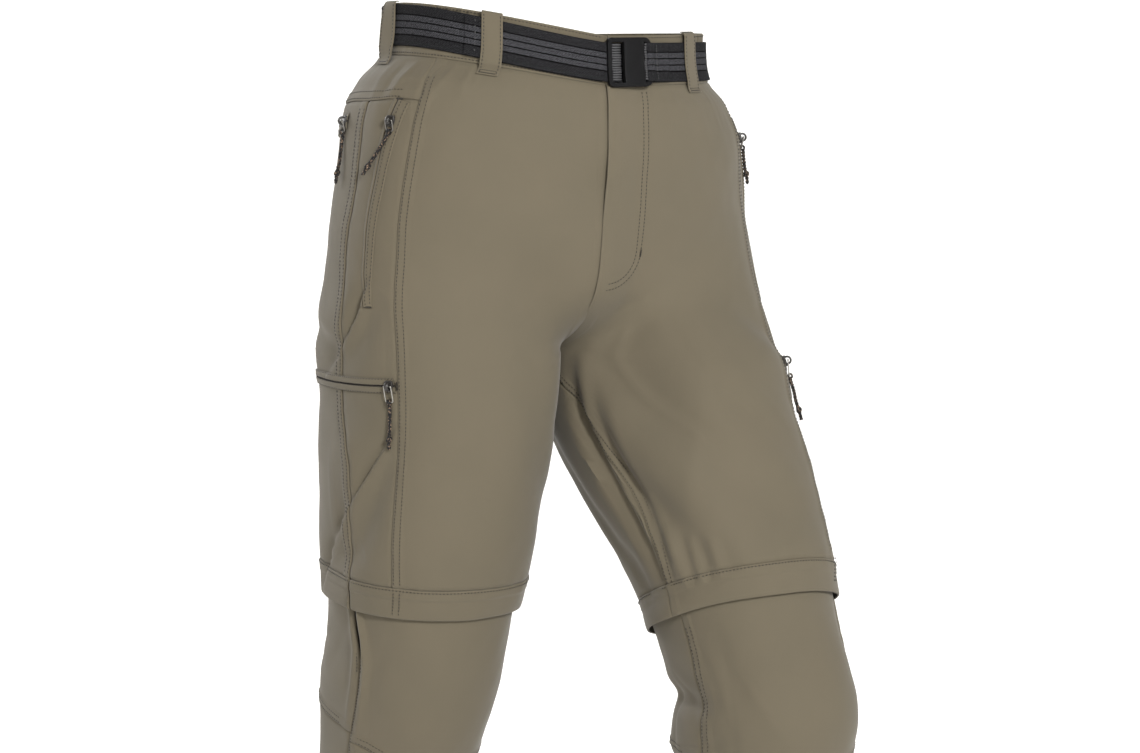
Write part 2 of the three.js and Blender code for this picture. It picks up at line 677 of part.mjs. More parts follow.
function addLoop(loop) {
  const { top, bottom, wall, foot, lift, slope, bend } = LOOP;
  const profile = new THREE.Shape();
  const high = loop.over + wall;
  profile.moveTo(top, CLEAR);
  profile.lineTo(top, high - bend);
  profile.lineTo(top + bend, high);
  profile.lineTo(bottom - foot - slope, high);
  profile.lineTo(bottom - foot, lift + wall);
  profile.lineTo(bottom, lift + wall);
  profile.lineTo(bottom, lift);
  profile.lineTo(bottom - foot - wall, lift);
  profile.lineTo(bottom - foot - slope - bend, loop.over);
  profile.lineTo(top + wall, loop.over);
  profile.lineTo(top + wall, CLEAR);
  profile.closePath();
  const geometry = new THREE.ExtrudeGeometry(profile, { depth: LOOP.width, bevelEnabled: false, steps: 2 });
  const position = geometry.getAttribute("position");
  for (let i = 0; i < position.count; i += 1) {
    const along = position.getZ(i) - LOOP.width / 2;
    position.setXYZ(i, along, position.getX(i), position.getY(i));
  }
  addPiece(loop.name, wrapRoundWaist(geometry, loop.degrees, 0), "cloth");
}

// pocket zips lie on the panels, between two places
const ZIPS = {
  hand_right: {
    side: "right", turn: 0.386, drop: 82, toTurn: 0.432, toDrop: 252, bow: 0.01, steps: 11,
    slider: 0.105, lie: 3.8, ring: 9, sway: -0.055, cord: 36, finish: "cord",
  },
  hand_left: {
    side: "left", turn: 0.386, drop: 82, toTurn: 0.432, toDrop: 252, bow: 0.01, steps: 11,
    slider: 0.105, lie: 3.8, ring: 9, sway: 0.01, cord: 36, finish: "cord",
  },
  back_right: {
    side: "right", turn: 0.54, drop: 101, toTurn: 0.82, toDrop: 116, bow: 0, steps: 8,
    slider: 0.04, lie: 2.6, ring: 9, sway: 0, cord: 42, finish: "cord",
  },
  cargo_right: {
    side: "right", turn: 0.388, drop: 316, toTurn: 0.58, toDrop: 329, bow: 0, steps: 8,
    slider: 0.04, lie: 2.6, ring: 14, sway: 0, cord: 42, finish: "wire",
  },
  cargo_left: {
    side: "left", turn: 0.388, drop: 316, toTurn: 0.58, toDrop: 329, bow: 0, steps: 8,
    slider: 0.04, lie: 2.6, ring: 14, sway: 0, cord: 42, finish: "wire",
  },
};
const ZIP_WIDTH = 11;
const ZIP_THICK = 1.3;
const ZIP_CLEAR = 0.8;

function zipPlace(zip, share) {
  const turn = mix(zip.turn, zip.toTurn, share) + zip.bow * Math.sin(Math.PI * share);
  return [turn, mix(zip.drop, zip.toDrop, share)];
}

function addZip(label, zip) {
  const side = SIDES[zip.side];
  const [startTurn, startDrop] = zipPlace(zip, 0);
  const [endTurn, endDrop] = zipPlace(zip, 1);
  const scale = turnPerMm(side, (startTurn + endTurn) / 2, (startDrop + endDrop) / 2);
  const run = new THREE.Vector2((endTurn - startTurn) / scale, endDrop - startDrop).normalize();
  const at = (height) => (col, row) => {
    const [turn, drop] = zipPlace(zip, col / zip.steps);
    const off = (row - 1) * (ZIP_WIDTH / 2);
    return clothPoint(side, turn - off * run.y * scale, drop + off * run.x, height);
  };
  const flipped = side.sign < 0;
  const geometry = wallGeometry(zip.steps, 2, at(ZIP_CLEAR + ZIP_THICK), at(ZIP_CLEAR), flipped);
  addPiece(`zip_${label}`, geometry, "zip");
}

// local directions at a slider: across (level), down the cloth, and out
function sliderFrame(zip) {
  const side = SIDES[zip.side];
  const [turn, drop] = zipPlace(zip, zip.slider);
  const out = outward(side, turn, drop);
  const across = new THREE.Vector3(0, 0, 1).cross(out).normalize();
  const down = across.clone().cross(out).normalize();
  if (down.z > 0) {
    down.negate();
  }
  across.copy(down).cross(out).normalize();
  const basis = new THREE.Matrix4().makeBasis(across, down, out);
  basis.setPosition(clothPoint(side, turn, drop, 0));
  return { side, turn, drop, basis };
}

const SLIDER = {
  base: 2.6, top: 4.6, half: 5, arch: 2.3, crown: 8.4, shoulder: 1.2, eye: 6.3, eyeRadius: 1.25, width: 5,
};

// slider body with a bridge that the wire ring passes through
function addSlider(label, zip) {
  const { base, top, half, arch, crown, shoulder, eye, eyeRadius, width } = SLIDER;
  const profile = new THREE.Shape();
  profile.moveTo(-half, base);
  profile.lineTo(half, base);
  profile.lineTo(half, top);
  profile.lineTo(arch, top);
  profile.lineTo(arch, crown - shoulder);
  profile.lineTo(arch - shoulder, crown);
  profile.lineTo(shoulder - arch, crown);
  profile.lineTo(-arch, crown - shoulder);
  profile.lineTo(-arch, top);
  profile.lineTo(-half, top);
  profile.closePath();
  profile.holes.push(new THREE.Path().absarc(0, eye, eyeRadius, 0, 2 * Math.PI, true));
  const geometry = new THREE.ExtrudeGeometry(profile, { depth: width, bevelEnabled: false, curveSegments: 8 });
  geometry.translate(0, 0, -width / 2);
  const turned = new THREE.Matrix4().makeBasis(
    new THREE.Vector3(0, 1, 0),
    new THREE.Vector3(0, 0, 1),
    new THREE.Vector3(1, 0, 0),
  );
  geometry.applyMatrix4(turned);
  geometry.applyMatrix4(sliderFrame(zip).basis);
  addPiece(`slider_${label}`, geometry, "plastic");
}

const WIRE_RADIUS = 0.6;
const RING = { half: 3.5, low: 2.9, topBend: 0.6, lowBend: 1.5 };

// closed wire ring through the slider's bridge, hanging down the cloth
function addRing(label, zip) {
  const { eye } = SLIDER;
  const { half, low, topBend, lowBend } = RING;
  const points = [
    new THREE.Vector3(-half + topBend, 0, eye),
    new THREE.Vector3(half - topBend, 0, eye),
    new THREE.Vector3(half, 1.5 * topBend, eye - topBend / 2),
    new THREE.Vector3(half, zip.ring - lowBend, low),
    new THREE.Vector3(half - lowBend, zip.ring, low),
    new THREE.Vector3(-half + lowBend, zip.ring, low),
    new THREE.Vector3(-half, zip.ring - lowBend, low),
    new THREE.Vector3(-half, 1.5 * topBend, eye - topBend / 2),
  ];
  const path = new THREE.CatmullRomCurve3(points, true, "centripetal");
  const geometry = new THREE.TubeGeometry(path, 20, WIRE_RADIUS, 5, true);
  geometry.applyMatrix4(sliderFrame(zip).basis);
  addPiece(`ring_${label}`, geometry, zip.finish);
}

const CORD_RADIUS = 1.5;
const KNOT = { before: 9, length: 7, radius: 3.1 };

// places down the cloth that a pull cord passes through
function cordPath(zip) {
  const { side, turn, drop, basis } = sliderFrame(zip);
  const first = new THREE.Vector3(0, zip.ring + WIRE_RADIUS + 1.2, zip.lie).applyMatrix4(basis);
  const points = [first];
  const steps = 6;
  for (let i = 1; i <= steps; i += 1) {
    const share = i / steps;
    const down = zip.ring + 4 + (zip.cord - 4) * share;
    const height = zip.lie + 1.2 * ramp(0.5, 0.8, share);
    points.push(clothPoint(side, turn - zip.sway * share, drop + down, height));
  }
  return new THREE.CatmullRomCurve3(points, false, "centripetal");
}

function addCord(label, zip) {
  const path = cordPath(zip);
  const length = path.getLength();
  const section = new THREE.Shape().absarc(0, 0, CORD_RADIUS, 0, 2 * Math.PI, false);
  const geometry = new THREE.ExtrudeGeometry(section, { steps: 10, curveSegments: 4, extrudePath: path });
  const position = geometry.getAttribute("position");
  const samples = path.getSpacedPoints(120);
  const point = new THREE.Vector3();
  for (let i = 0; i < position.count; i += 1) {
    point.fromBufferAttribute(position, i);
    let best = 0;
    samples.forEach((sample, k) => {
      if (sample.distanceToSquared(point) < samples[best].distanceToSquared(point)) {
        best = k;
      }
    });
    const left = length * (1 - best / 120);
    const swell = Math.exp(-(((left - KNOT.before) / (KNOT.length / 2)) ** 2));
    const scale = mix(1, KNOT.radius / CORD_RADIUS, swell);
    point.sub(samples[best]).multiplyScalar(scale).add(samples[best]);
    position.setXYZ(i, point.x, point.y, point.z);
  }
  geometry.computeVertexNormals();
  addPiece(`cord_${label}`, geometry, "cord");
}

const LEG_ZIP_HALF = 6;
const LEG_ZIP_DEPTH = 1.3;

// dark tape of the lower leg's short side zip, behind the parted outseam
function addLegZip(label, side) {
  addPanel(`leg_zip_${label}`, side, {
    from: (drop) => column(OUTSEAM, "turn", drop) - LEG_ZIP_HALF * turnPerMm(side, 0.47, drop),
    to: (drop) => column(OUTSEAM, "turn", drop) + LEG_ZIP_HALF * turnPerMm(side, 0.47, drop),
    top: hemLine(side, LOWER_LEG_TOP + 4),
    bottom: constant(ZIP_OPENING.to + 10),
    columns: 4,
    height: () => -LOWER_LEG_INSET - WALL - LEG_ZIP_DEPTH,
    wall: 1.2,
    finish: "zip",
  });
}

for (const label of ["right", "left"]) {
  const side = SIDES[label];
  addWaistband(label, side);
  addShorts(label, side);
  addHemBand(label, side);
  addZipOff(label, side);
  addLowerLeg(label, side);
  addLegZip(label, side);
}
addBelt();
addBuckle();
addBeltFold();
LOOPS.forEach(addLoop);
for (const [label, zip] of Object.entries(ZIPS)) {
  addZip(label, zip);
  addSlider(label, zip);
  addRing(label, zip);
  addCord(label, zip);
}

export default trousers;
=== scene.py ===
import math
from collections import namedtuple

import bmesh
import bpy
import numpy as np
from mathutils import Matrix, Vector


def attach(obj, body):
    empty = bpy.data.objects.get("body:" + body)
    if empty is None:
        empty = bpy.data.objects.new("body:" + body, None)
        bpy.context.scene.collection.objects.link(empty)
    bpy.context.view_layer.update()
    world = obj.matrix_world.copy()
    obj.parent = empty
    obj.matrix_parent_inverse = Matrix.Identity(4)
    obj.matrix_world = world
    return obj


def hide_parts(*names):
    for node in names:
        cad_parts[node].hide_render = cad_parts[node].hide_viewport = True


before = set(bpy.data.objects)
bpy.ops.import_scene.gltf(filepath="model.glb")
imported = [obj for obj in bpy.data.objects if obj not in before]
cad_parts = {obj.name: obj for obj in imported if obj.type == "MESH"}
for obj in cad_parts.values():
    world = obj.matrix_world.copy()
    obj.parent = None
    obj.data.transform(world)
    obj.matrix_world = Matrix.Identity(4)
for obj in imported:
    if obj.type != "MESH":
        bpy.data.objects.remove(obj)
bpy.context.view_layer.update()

# Convertible zip-off trousers on their worn form. All sizes here are millimetres
# until a mesh is made. "drop" is the distance down the cloth from the waist's top
# edge. "turn" runs round one side: 0 at centre front and inseam, 0.5 at the outer
# side, 1 at centre back and inseam again.
METRES = 0.001
ROOT = "trousers"

# camera, as the photo was taken: a long lens, from the wearer's right
IMAGE_WIDTH = 1140
FOCAL_PIXELS = 3850
SENSOR_WIDTH = 36
CAMERA_DISTANCE = 3500
CAMERA_AZIMUTH = -30
CAMERA_ELEVATION = 3.5
CAMERA_TARGET = (20, -11, -324)


def add_camera():
    data = bpy.data.cameras.new("camera")
    data.sensor_width = SENSOR_WIDTH
    data.lens = SENSOR_WIDTH * FOCAL_PIXELS / IMAGE_WIDTH
    data.clip_end = 100
    camera = bpy.data.objects.new("camera", data)
    bpy.context.scene.collection.objects.link(camera)
    azimuth = math.radians(CAMERA_AZIMUTH)
    elevation = math.radians(CAMERA_ELEVATION)
    away = Vector((
        math.sin(azimuth) * math.cos(elevation),
        -math.cos(azimuth) * math.cos(elevation),
        math.sin(elevation),
    ))
    camera.location = (Vector(CAMERA_TARGET) + CAMERA_DISTANCE * away) * METRES
    camera.rotation_euler = away.to_track_quat("Z", "Y").to_euler()
    bpy.context.scene.camera = camera


# the cut

HIP_HALF_WIDTH = 92
HIP_JOINT_DROP = 170
KNEE_DROP = 612
CROTCH_DROP = 300
LEGS_PART = CROTCH_DROP - 10
FRONT_RISE_START = 190
BACK_RISE_START = 130
BAND_HEIGHT = 45
HEM_BAND_TOP = 498
HEM_BAND_BOTTOM = 526
LOWER_LEG_TOP = 518
LOWER_LEG_INSET = 4
FRONT_KNEE_SEAM = 668
BACK_KNEE_SEAM = 647
ANKLE_DROP = 1045
FLY_BOTTOM = 236


def table(names, *rows):
    """A short table as named columns."""
    return dict(zip(names.split(), np.array(rows, float).T))


CUT = table(
    "drop hip_w hip_f hip_b leg_x leg_y leg_w leg_d",
    (0, 148, 112, 111, 92, 0, 92, 108),
    (26, 149, 113, 113, 92, 0, 92, 109),
    (45, 153, 115, 117, 92, 0, 92, 110),
    (66, 172, 118, 130, 93, 0, 93, 110),
    (100, 187, 118, 141, 94, 0, 94, 110),
    (150, 195, 113, 146, 96, 1, 96, 110),
    (200, 202, 107, 150, 98, 3, 98, 110),
    (250, 207, 102, 150, 100, 3, 100, 110),
    (300, 207, 98, 145, 101, 3, 100, 110),
    (360, 207, 98, 141, 102, 2, 99, 108),
    (430, 207, 98, 141, 104, 0, 96, 104),
    (500, 207, 98, 141, 107, -1, 89, 98),
    (530, 207, 98, 141, 107, 2, 84, 91),
    (612, 207, 98, 141, 106, 12, 76, 86),
    (680, 207, 98, 141, 105, 15, 70, 78),
    (800, 207, 98, 141, 105, 15, 68, 74),
    (940, 207, 98, 141, 105, 11, 66, 71),
    (1045, 207, 98, 141, 105, 9, 65, 70),
)
SIDE_FRONT_SEAM = table(
    "drop turn",
    (45, 0.358), (88, 0.341), (160, 0.347), (205, 0.354),
    (260, 0.374), (330, 0.384), (420, 0.384), (560, 0.381),
)
OUTSEAM = table(
    "drop turn",
    (45, 0.505), (100, 0.49), (150, 0.489), (200, 0.497), (256, 0.484), (340, 0.486),
    (400, 0.464), (500, 0.468), (528, 0.464), (572, 0.45), (668, 0.46), (1045, 0.48),
)
INSEAM = table(
    "drop right left",
    (0, 0, 0), (300, 0, 0), (345, 0, 0.045), (400, 0, 0.055),
    (500, 0, 0.032), (620, 0, 0.034), (1045, 0, 0.02),
)

# main folds: from one place to another, half width and height outwards
FOLDS_RIGHT = table(
    "turn drop to_turn to_drop width height",
    (0.4, 238, 0.5, 320, 13, -4),
    (0.43, 222, 0.55, 300, 22, 4),
    (0.48, 298, 0.66, 276, 13, -4),
    (0.38, 350, 0.46, 488, 13, -5),
    (0.43, 340, 0.52, 470, 24, 4),
    (0.44, 466, 0.58, 512, 14, -4),
    (0.2, 330, 0.26, 500, 34, 3),
    (0.62, 310, 0.94, 345, 16, -5),
    (0.6, 395, 0.86, 372, 20, -4),
    (0.62, 600, 0.96, 590, 16, -6),
    (0.6, 622, 0.94, 618, 18, 4),
    (0.6, 640, 0.92, 655, 16, -5),
    (0.4, 292, 0.76, 278, 44, 6),
    (0.42, 640, 0.84, 640, 62, 9),
)
FOLDS_LEFT = table(
    "turn drop to_turn to_drop width height",
    (0.03, 262, 0.21, 505, 24, 5),
    (0.01, 300, 0.13, 505, 14, -5),
    (0.1, 262, 0.27, 480, 22, -4),
    (0.26, 258, 0.43, 316, 14, -3),
    (0.93, 330, 0.98, 505, 13, -5),
    (0.4, 350, 0.48, 480, 15, -4),
    (0.62, 330, 0.9, 375, 18, -5),
    (0.6, 420, 0.86, 400, 20, -4),
    (-0.05, 640, 0.5, 640, 62, 20),
    (0.7, 610, 1.1, 610, 62, 7),
    (0.7, 588, 1.06, 590, 15, -7),
    (0.58, 652, 1.06, 650, 30, 11),
    (0.62, 712, 0.98, 706, 18, -4),
)

# soft hollows beside the sharp creases
HOLLOWS_RIGHT = table(
    "turn drop to_turn to_drop width height",
    (0.49, 296, 0.58, 280, 8, -2.5),
    (0.345, 380, 0.41, 500, 26, 1.6),
    (0.12, 300, 0.18, 470, 30, -1.6),
    (0.03, 90, 0.28, 240, 40, 1.2),
    (0.26, 60, 0.1, 230, 34, -1.2),
    (0.5, 390, 0.5, 500, 12, -2),
    (0.06, 560, 0.2, 900, 30, -1.5),
    (0.3, 540, 0.4, 700, 24, -1.8),
)
HOLLOWS_LEFT = table(
    "turn drop to_turn to_drop width height",
    (0.052, 290, 0.022, 490, 9, -9),
    (0.085, 296, 0.06, 480, 12, -4),
    (0.05, 250, 0.2, 400, 16, -6),
    (0.11, 262, 0.26, 440, 20, 2),
    (0.24, 280, 0.36, 470, 26, -1.8),
    (0.03, 90, 0.24, 220, 36, 1.2),
    (0.93, 590, 1.08, 602, 9, -3.5),
    (0.22, 60, 0.1, 200, 30, -1.2),
    (0.08, 540, 0.16, 640, 14, -2.4),
)

# creases too fine for the solids, each with a narrow crest
CREASES_RIGHT = table(
    "turn drop to_turn to_drop width height",
    (0.49, 288, 0.57, 276, 5, -1.8),
    (0.502, 380, 0.506, 500, 5, 3),
    (0.46, 262, 0.53, 292, 6, 1),
    (0.27, 44, 0.25, 84, 5, 1),
    (0.3, 46, 0.33, 92, 4, 1.6),
    (0.335, 47, 0.35, 92, 4, -1.5),
    (0.4, 48, 0.425, 84, 4, 1.8),
    (0.44, 48, 0.45, 84, 4, -1.6),
    (0.49, 48, 0.48, 84, 5, 1.6),
    (0.05, 284, 0.16, 318, 7, -1.1),
    (0.06, 262, 0.2, 282, 9, 0.9),
    (0.02, 318, 0.1, 372, 6, -1.1),
    (0.47, 520, 0.53, 600, 7, -1.3),
    (0.38, 534, 0.43, 600, 6, -0.9),
    (0.72, 330, 0.95, 318, 6, -1.5),
    (0.7, 346, 0.92, 362, 7, 1.3),
    (0.66, 420, 0.82, 436, 8, -1.1),
    (0.55, 575, 0.8, 566, 6, -1.3),
    (0.62, 632, 0.84, 636, 5, -1.3),
    (0.7, 672, 0.9, 690, 7, -1.1),
    (0.6, 60, 0.66, 130, 7, 0.8),
    (0.75, 200, 0.93, 262, 9, -1),
    (0.8, 262, 0.96, 300, 7, -1.2),
    (0.25, 640, 0.42, 690, 8, -0.9),
    (0.15, 780, 0.35, 830, 12, -2.4),
    (0.6, 780, 0.86, 840, 10, -2.6),
    (0.62, 880, 0.9, 850, 9, 2.2),
    (0.58, 975, 0.9, 930, 11, -2.8),
    (0.7, 1000, 0.95, 985, 9, 2.4),
    (0.1, 950, 0.4, 985, 11, -2.6),
    (0.05, 1000, 0.3, 1012, 8, 2),
)
CREASES_LEFT = table(
    "turn drop to_turn to_drop width height",
    (0.034, 300, 0.006, 494, 5, 5.5),
    (0.066, 300, 0.034, 494, 5, 5.5),
    (0.082, 316, 0.046, 494, 4, -4.5),
    (0.1, 330, 0.058, 494, 5, 4),
    (0.06, 256, 0.2, 400, 6, 3.6),
    (0.13, 252, 0.3, 400, 8, -1.3),
    (0.16, 250, 0.34, 386, 9, 1),
    (0.075, 440, 0.07, 500, 3.5, 2.8),
    (0.092, 450, 0.086, 500, 3.5, -2.4),
    (0.106, 452, 0.102, 500, 3.5, 2.4),
    (0.124, 456, 0.118, 500, 3.5, -2.2),
    (0.14, 460, 0.136, 500, 3.5, 2),
    (0.16, 462, 0.158, 500, 4, -1),
    (0.182, 466, 0.18, 500, 4, 0.8),
    (0.98, 440, 0.992, 500, 4, -1.8),
    (0.95, 450, 0.97, 500, 4, 1.5),
    (0.93, 596, 1.06, 606, 4, -2.6),
    (0.94, 646, 1.09, 630, 5, -2),
    (0.05, 545, 0.1, 640, 7, -1.5),
    (0.1, 560, 0.2, 640, 9, 1.2),
    (0.96, 560, 1.05, 640, 7, -1.6),
    (0.02, 652, 0.14, 690, 6, -1.5),
    (0.04, 670, 0.2, 720, 8, 1.1),
    (0.42, 246, 0.5, 306, 6, -1.2),
    (0.4, 372, 0.5, 470, 7, -1.2),
    (0.72, 340, 0.95, 330, 6, -1.5),
    (0.7, 356, 0.92, 380, 7, 1.3),
    (0.66, 430, 0.84, 452, 8, -1.2),
    (0.62, 600, 0.9, 606, 6, -1.8),
    (0.66, 628, 0.92, 640, 6, -1.5),
    (0.64, 672, 0.9, 690, 7, 1.2),
    (0.7, 735, 0.92, 742, 8, -1.3),
    (0.12, 780, 0.36, 820, 12, -2.4),
    (0.62, 820, 0.84, 790, 10, 2.2),
    (0.62, 985, 0.94, 950, 10, -2.6),
    (0.3, 48, 0.335, 108, 5, 0.9),
    (0.36, 48, 0.37, 98, 5, -0.8),
    (0.42, 48, 0.44, 96, 5, 0.9),
    (0.75, 200, 0.93, 262, 9, -1),
    (0.6, 900, 0.86, 860, 11, -2.6),
    (0.1, 960, 0.4, 930, 11, -2.6),
    (0.08, 1006, 0.36, 990, 8, 2),
)

# folds that drop behind a crisp edge, deepest beside it
STEPS_RIGHT = table(
    "turn drop to_turn to_drop width height",
    (0.418, 226, 0.522, 326, 15, -8),
    (0.386, 352, 0.556, 522, 17, -9),
    (0.64, 352, 0.9, 330, 16, -5),
)
STEPS_LEFT = table(
    "turn drop to_turn to_drop width height",
    (0.42, 238, 0.5, 312, 14, -6),
    (0.4, 366, 0.51, 490, 16, -7),
    (0.64, 352, 0.9, 330, 16, -5),
)
MM_PER_TURN = 560


# one side of the garment: how its leg stands, in degrees and millimetres
Side = namedtuple(
    "Side", "label sign forward out knee lower rise girth hem_tilt hem_curl folds hollows creases steps",
)
RIGHT = Side(
    label="right", sign=-1, forward=-7, out=-0.5, knee=13, lower=0, rise=27, girth=1, hem_tilt=0, hem_curl=1,
    folds=FOLDS_RIGHT, hollows=HOLLOWS_RIGHT, creases=CREASES_RIGHT, steps=STEPS_RIGHT,
)
LEFT = Side(
    label="left", sign=1, forward=18, out=7.3, knee=21, lower=32, rise=4, girth=0.95, hem_tilt=9, hem_curl=5,
    folds=FOLDS_LEFT, hollows=HOLLOWS_LEFT, creases=CREASES_LEFT, steps=STEPS_LEFT,
)
SIDES = (RIGHT, LEFT)


def ramp(low, high, value):
    u = np.clip((value - low) / (high - low), 0, 1)
    return u * u * (3 - 2 * u)


def mix(a, b, share):
    return a + (b - a) * share


def unit(vectors):
    return vectors / np.linalg.norm(vectors, axis=-1, keepdims=True)


def run_along(line):
    """Distance of each point along a line from its start."""
    return np.concatenate([[0], np.cumsum(np.linalg.norm(np.diff(line, axis=0), axis=-1))])


def column(rows, name, at):
    """Smooth curve through the rows of a table that never overshoots them."""
    x, y = rows["drop"], rows[name]
    rise = np.diff(y) / np.diff(x)
    before, after = rise[:-1], rise[1:]
    level = before * after <= 0
    between = 2 * before * after / np.where(level, 1, before + after)
    slope = np.concatenate([rise[:1], np.where(level, 0, between), rise[-1:]])
    i = np.clip(np.searchsorted(x, at), 1, len(x) - 1)
    span = x[i] - x[i - 1]
    u = np.clip((at - x[i - 1]) / span, 0, 1)
    leave, arrive, change = slope[i - 1] * span, slope[i] * span, y[i] - y[i - 1]
    cubic = leave + arrive - 2 * change
    square = 3 * change - 2 * leave - arrive
    return y[i - 1] + u * (leave + u * (square + u * cubic))


# rings are rounder than a rectangle and squarer than an ellipse
SQUARE = 2 / 2.25


def squarish(value):
    return np.sign(value) * np.abs(value) ** SQUARE


CLOSING_FRONT_POWER = 4
CLOSING_BACK_POWER = 2.4
CLOSING_END = 350
CLOSING_FRONT_START = 170
CLOSING_BACK_START = 110
CROTCH_REACH = 0.16


def closing(turn, drop):
    """Share of the way from hip ring to leg ring: quick at the crotch seam, gentle elsewhere."""
    front = np.clip((drop - FRONT_RISE_START) / (CROTCH_DROP - FRONT_RISE_START), 0, 1) ** CLOSING_FRONT_POWER
    back = np.clip((drop - BACK_RISE_START) / (CROTCH_DROP - BACK_RISE_START), 0, 1) ** CLOSING_BACK_POWER
    front_side = mix(front, ramp(CLOSING_FRONT_START, CLOSING_END, drop), ramp(0, CROTCH_REACH, turn))
    back_side = mix(back, ramp(CLOSING_BACK_START, CLOSING_END, drop), ramp(0, CROTCH_REACH, 1 - turn))
    return mix(front_side, back_side, ramp(0.1, 0.9, turn))


# height of the waist's top edge at centre front, its extra height behind, and where that ends
WAIST_FRONT = -18
WAIST_BACK_RISE = 3
WAIST_RISE_END = 260


def cut_point(side, turn, drop):
    """The cut before the legs are moved: half a hip ring that closes into a leg ring."""
    half = math.pi * turn
    sine, cosine = np.sin(half), np.cos(half)
    depth = np.where(turn < 0.5, column(CUT, "hip_f", drop), column(CUT, "hip_b", drop))
    hip_x = column(CUT, "hip_w", drop) * squarish(sine)
    hip_y = -depth * squarish(cosine)
    leg_w = column(CUT, "leg_w", drop)
    reach = leg_w * (1 - squarish(np.cos(2 * half))) * side.girth
    leg_x = column(CUT, "leg_x", drop) - leg_w + reach
    leg_depth = column(CUT, "leg_d", drop) * squarish(np.sin(2 * half)) * side.girth
    leg_y = column(CUT, "leg_y", drop) - leg_depth
    close = closing(turn, drop)
    lift = WAIST_FRONT + side.rise * np.abs(sine) + WAIST_BACK_RISE * (1 - cosine)
    x = side.sign * mix(hip_x, leg_x, close)
    y = mix(hip_y, leg_y, close)
    return x, y, lift * (1 - ramp(0, WAIST_RISE_END, drop)) - drop


def swing(y, z, degrees):
    angle = np.radians(degrees)
    return y * np.cos(angle) + z * np.sin(angle), z * np.cos(angle) - y * np.sin(angle)


KNEE_Y = -10
KNEE_ABOVE = 90
KNEE_BELOW = 70
HIP_EASE_TOP = 140
HIP_EASE_LENGTH = 190
HIP_EASE_WIDTH = 80


def stand(side, x, y, z):
    """Bend at the knee, then the hip, both eased over the cloth round the joint."""
    down = -z
    bend = -side.knee * ramp(KNEE_DROP - KNEE_ABOVE, KNEE_DROP + KNEE_BELOW, down)
    ny, nz = swing(y - KNEE_Y, z + KNEE_DROP, bend)
    ny = ny + KNEE_Y
    nz = nz + HIP_JOINT_DROP - KNEE_DROP
    top = mix(LEGS_PART, HIP_EASE_TOP, ramp(0, HIP_EASE_WIDTH, np.abs(x)))
    share = ramp(top, top + HIP_EASE_LENGTH, down)
    ny, nz = swing(ny, nz, side.forward * share)
    spread = math.radians(side.out) * share
    along = side.sign * x - HIP_HALF_WIDTH
    out_x = HIP_HALF_WIDTH + along * np.cos(spread) - nz * np.sin(spread)
    out_z = along * np.sin(spread) + nz * np.cos(spread) - HIP_JOINT_DROP - side.lower * share
    return np.stack([side.sign * out_x, ny, out_z], axis=-1)


def soft_profile(across, width):
    return np.exp(-((across / width) ** 2))


CREST_RADIUS = 0.9


def sharp_profile(across, width):
    """A crest that comes to a narrow edge, as thin cloth creases."""
    return np.exp((CREST_RADIUS - np.sqrt(across**2 + CREST_RADIUS**2)) / width)


STEP_EDGE = (-1.2, 2)
STEP_SWELL = 0.12
STEP_SWELL_AWAY = 4
STEP_SWELL_WIDTH = 5


def step_profile(across, width):
    """A crisp edge that falls away on one side and comes back over the width, after a slight swell."""
    fall = ramp(*STEP_EDGE, across) * np.exp(-np.maximum(across, 0) / width)
    return fall - STEP_SWELL * soft_profile(across + STEP_SWELL_AWAY, STEP_SWELL_WIDTH)


FOLD_TAPER = 0.7

# share of a turn beside the centre seams that folds leave flat, and where that ends below the crotch
SEAM_FREE = 0.06
SEAM_FREE_END = CROTCH_DROP + 45


def fold_height(folds, turn, drop, profile=soft_profile):
    """Height of a table's folds at places, positive outwards; below the crotch they may cross the inseam."""
    height = np.zeros(np.broadcast(turn, drop).shape)
    for k in range(len(folds["turn"])):
        start, end = folds["turn"][k], folds["to_turn"][k]
        run_x = (end - start) * MM_PER_TURN
        run_y = folds["to_drop"][k] - folds["drop"][k]
        length = math.hypot(run_x, run_y)
        lap = np.where(drop > LEGS_PART, np.round(turn - (start + end) / 2), 0)
        px = (turn - lap - start) * MM_PER_TURN
        py = drop - folds["drop"][k]
        along = (px * run_x + py * run_y) / length**2
        across = (px * run_y - py * run_x) / length
        taper = np.sin(math.pi * np.clip(along, 0, 1)) ** FOLD_TAPER
        height = height + folds["height"][k] * taper * profile(across, folds["width"][k])
    from_centre = ramp(0, SEAM_FREE, np.minimum(turn, 1 - turn))
    return height * mix(from_centre, 1, ramp(CROTCH_DROP, SEAM_FREE_END, drop))


# soft unevenness of the worn cloth: wavelength and height
UNEVEN = ((95, 0.55), (52, 0.28), (27, 0.1))
WAVES_EACH = 5
UNEVEN_SEED = 7
UNEVEN_START = (50, 90)


def unevenness(side, turn, drop):
    """Smooth random swells, the same at turn 0 and 1 of a leg."""
    rng = np.random.default_rng(UNEVEN_SEED + side.sign)
    height = np.zeros(np.broadcast(turn, drop).shape)
    for wavelength, amount in UNEVEN:
        most = MM_PER_TURN / wavelength
        for _ in range(WAVES_EACH):
            round_leg = np.round(rng.uniform(-most, most))
            down_leg = math.sqrt(max(most**2 - round_leg**2, 1)) / MM_PER_TURN
            phase = rng.uniform(0, 2 * math.pi)
            cycles = round_leg * turn + down_leg * drop
            height = height + amount / 2 * np.sin(2 * math.pi * cycles + phase)
    return height


PROBE_TURN = 0.004
PROBE_DROP = 3


def smooth_point(side, turn, drop):
    return stand(side, *cut_point(side, turn, drop))


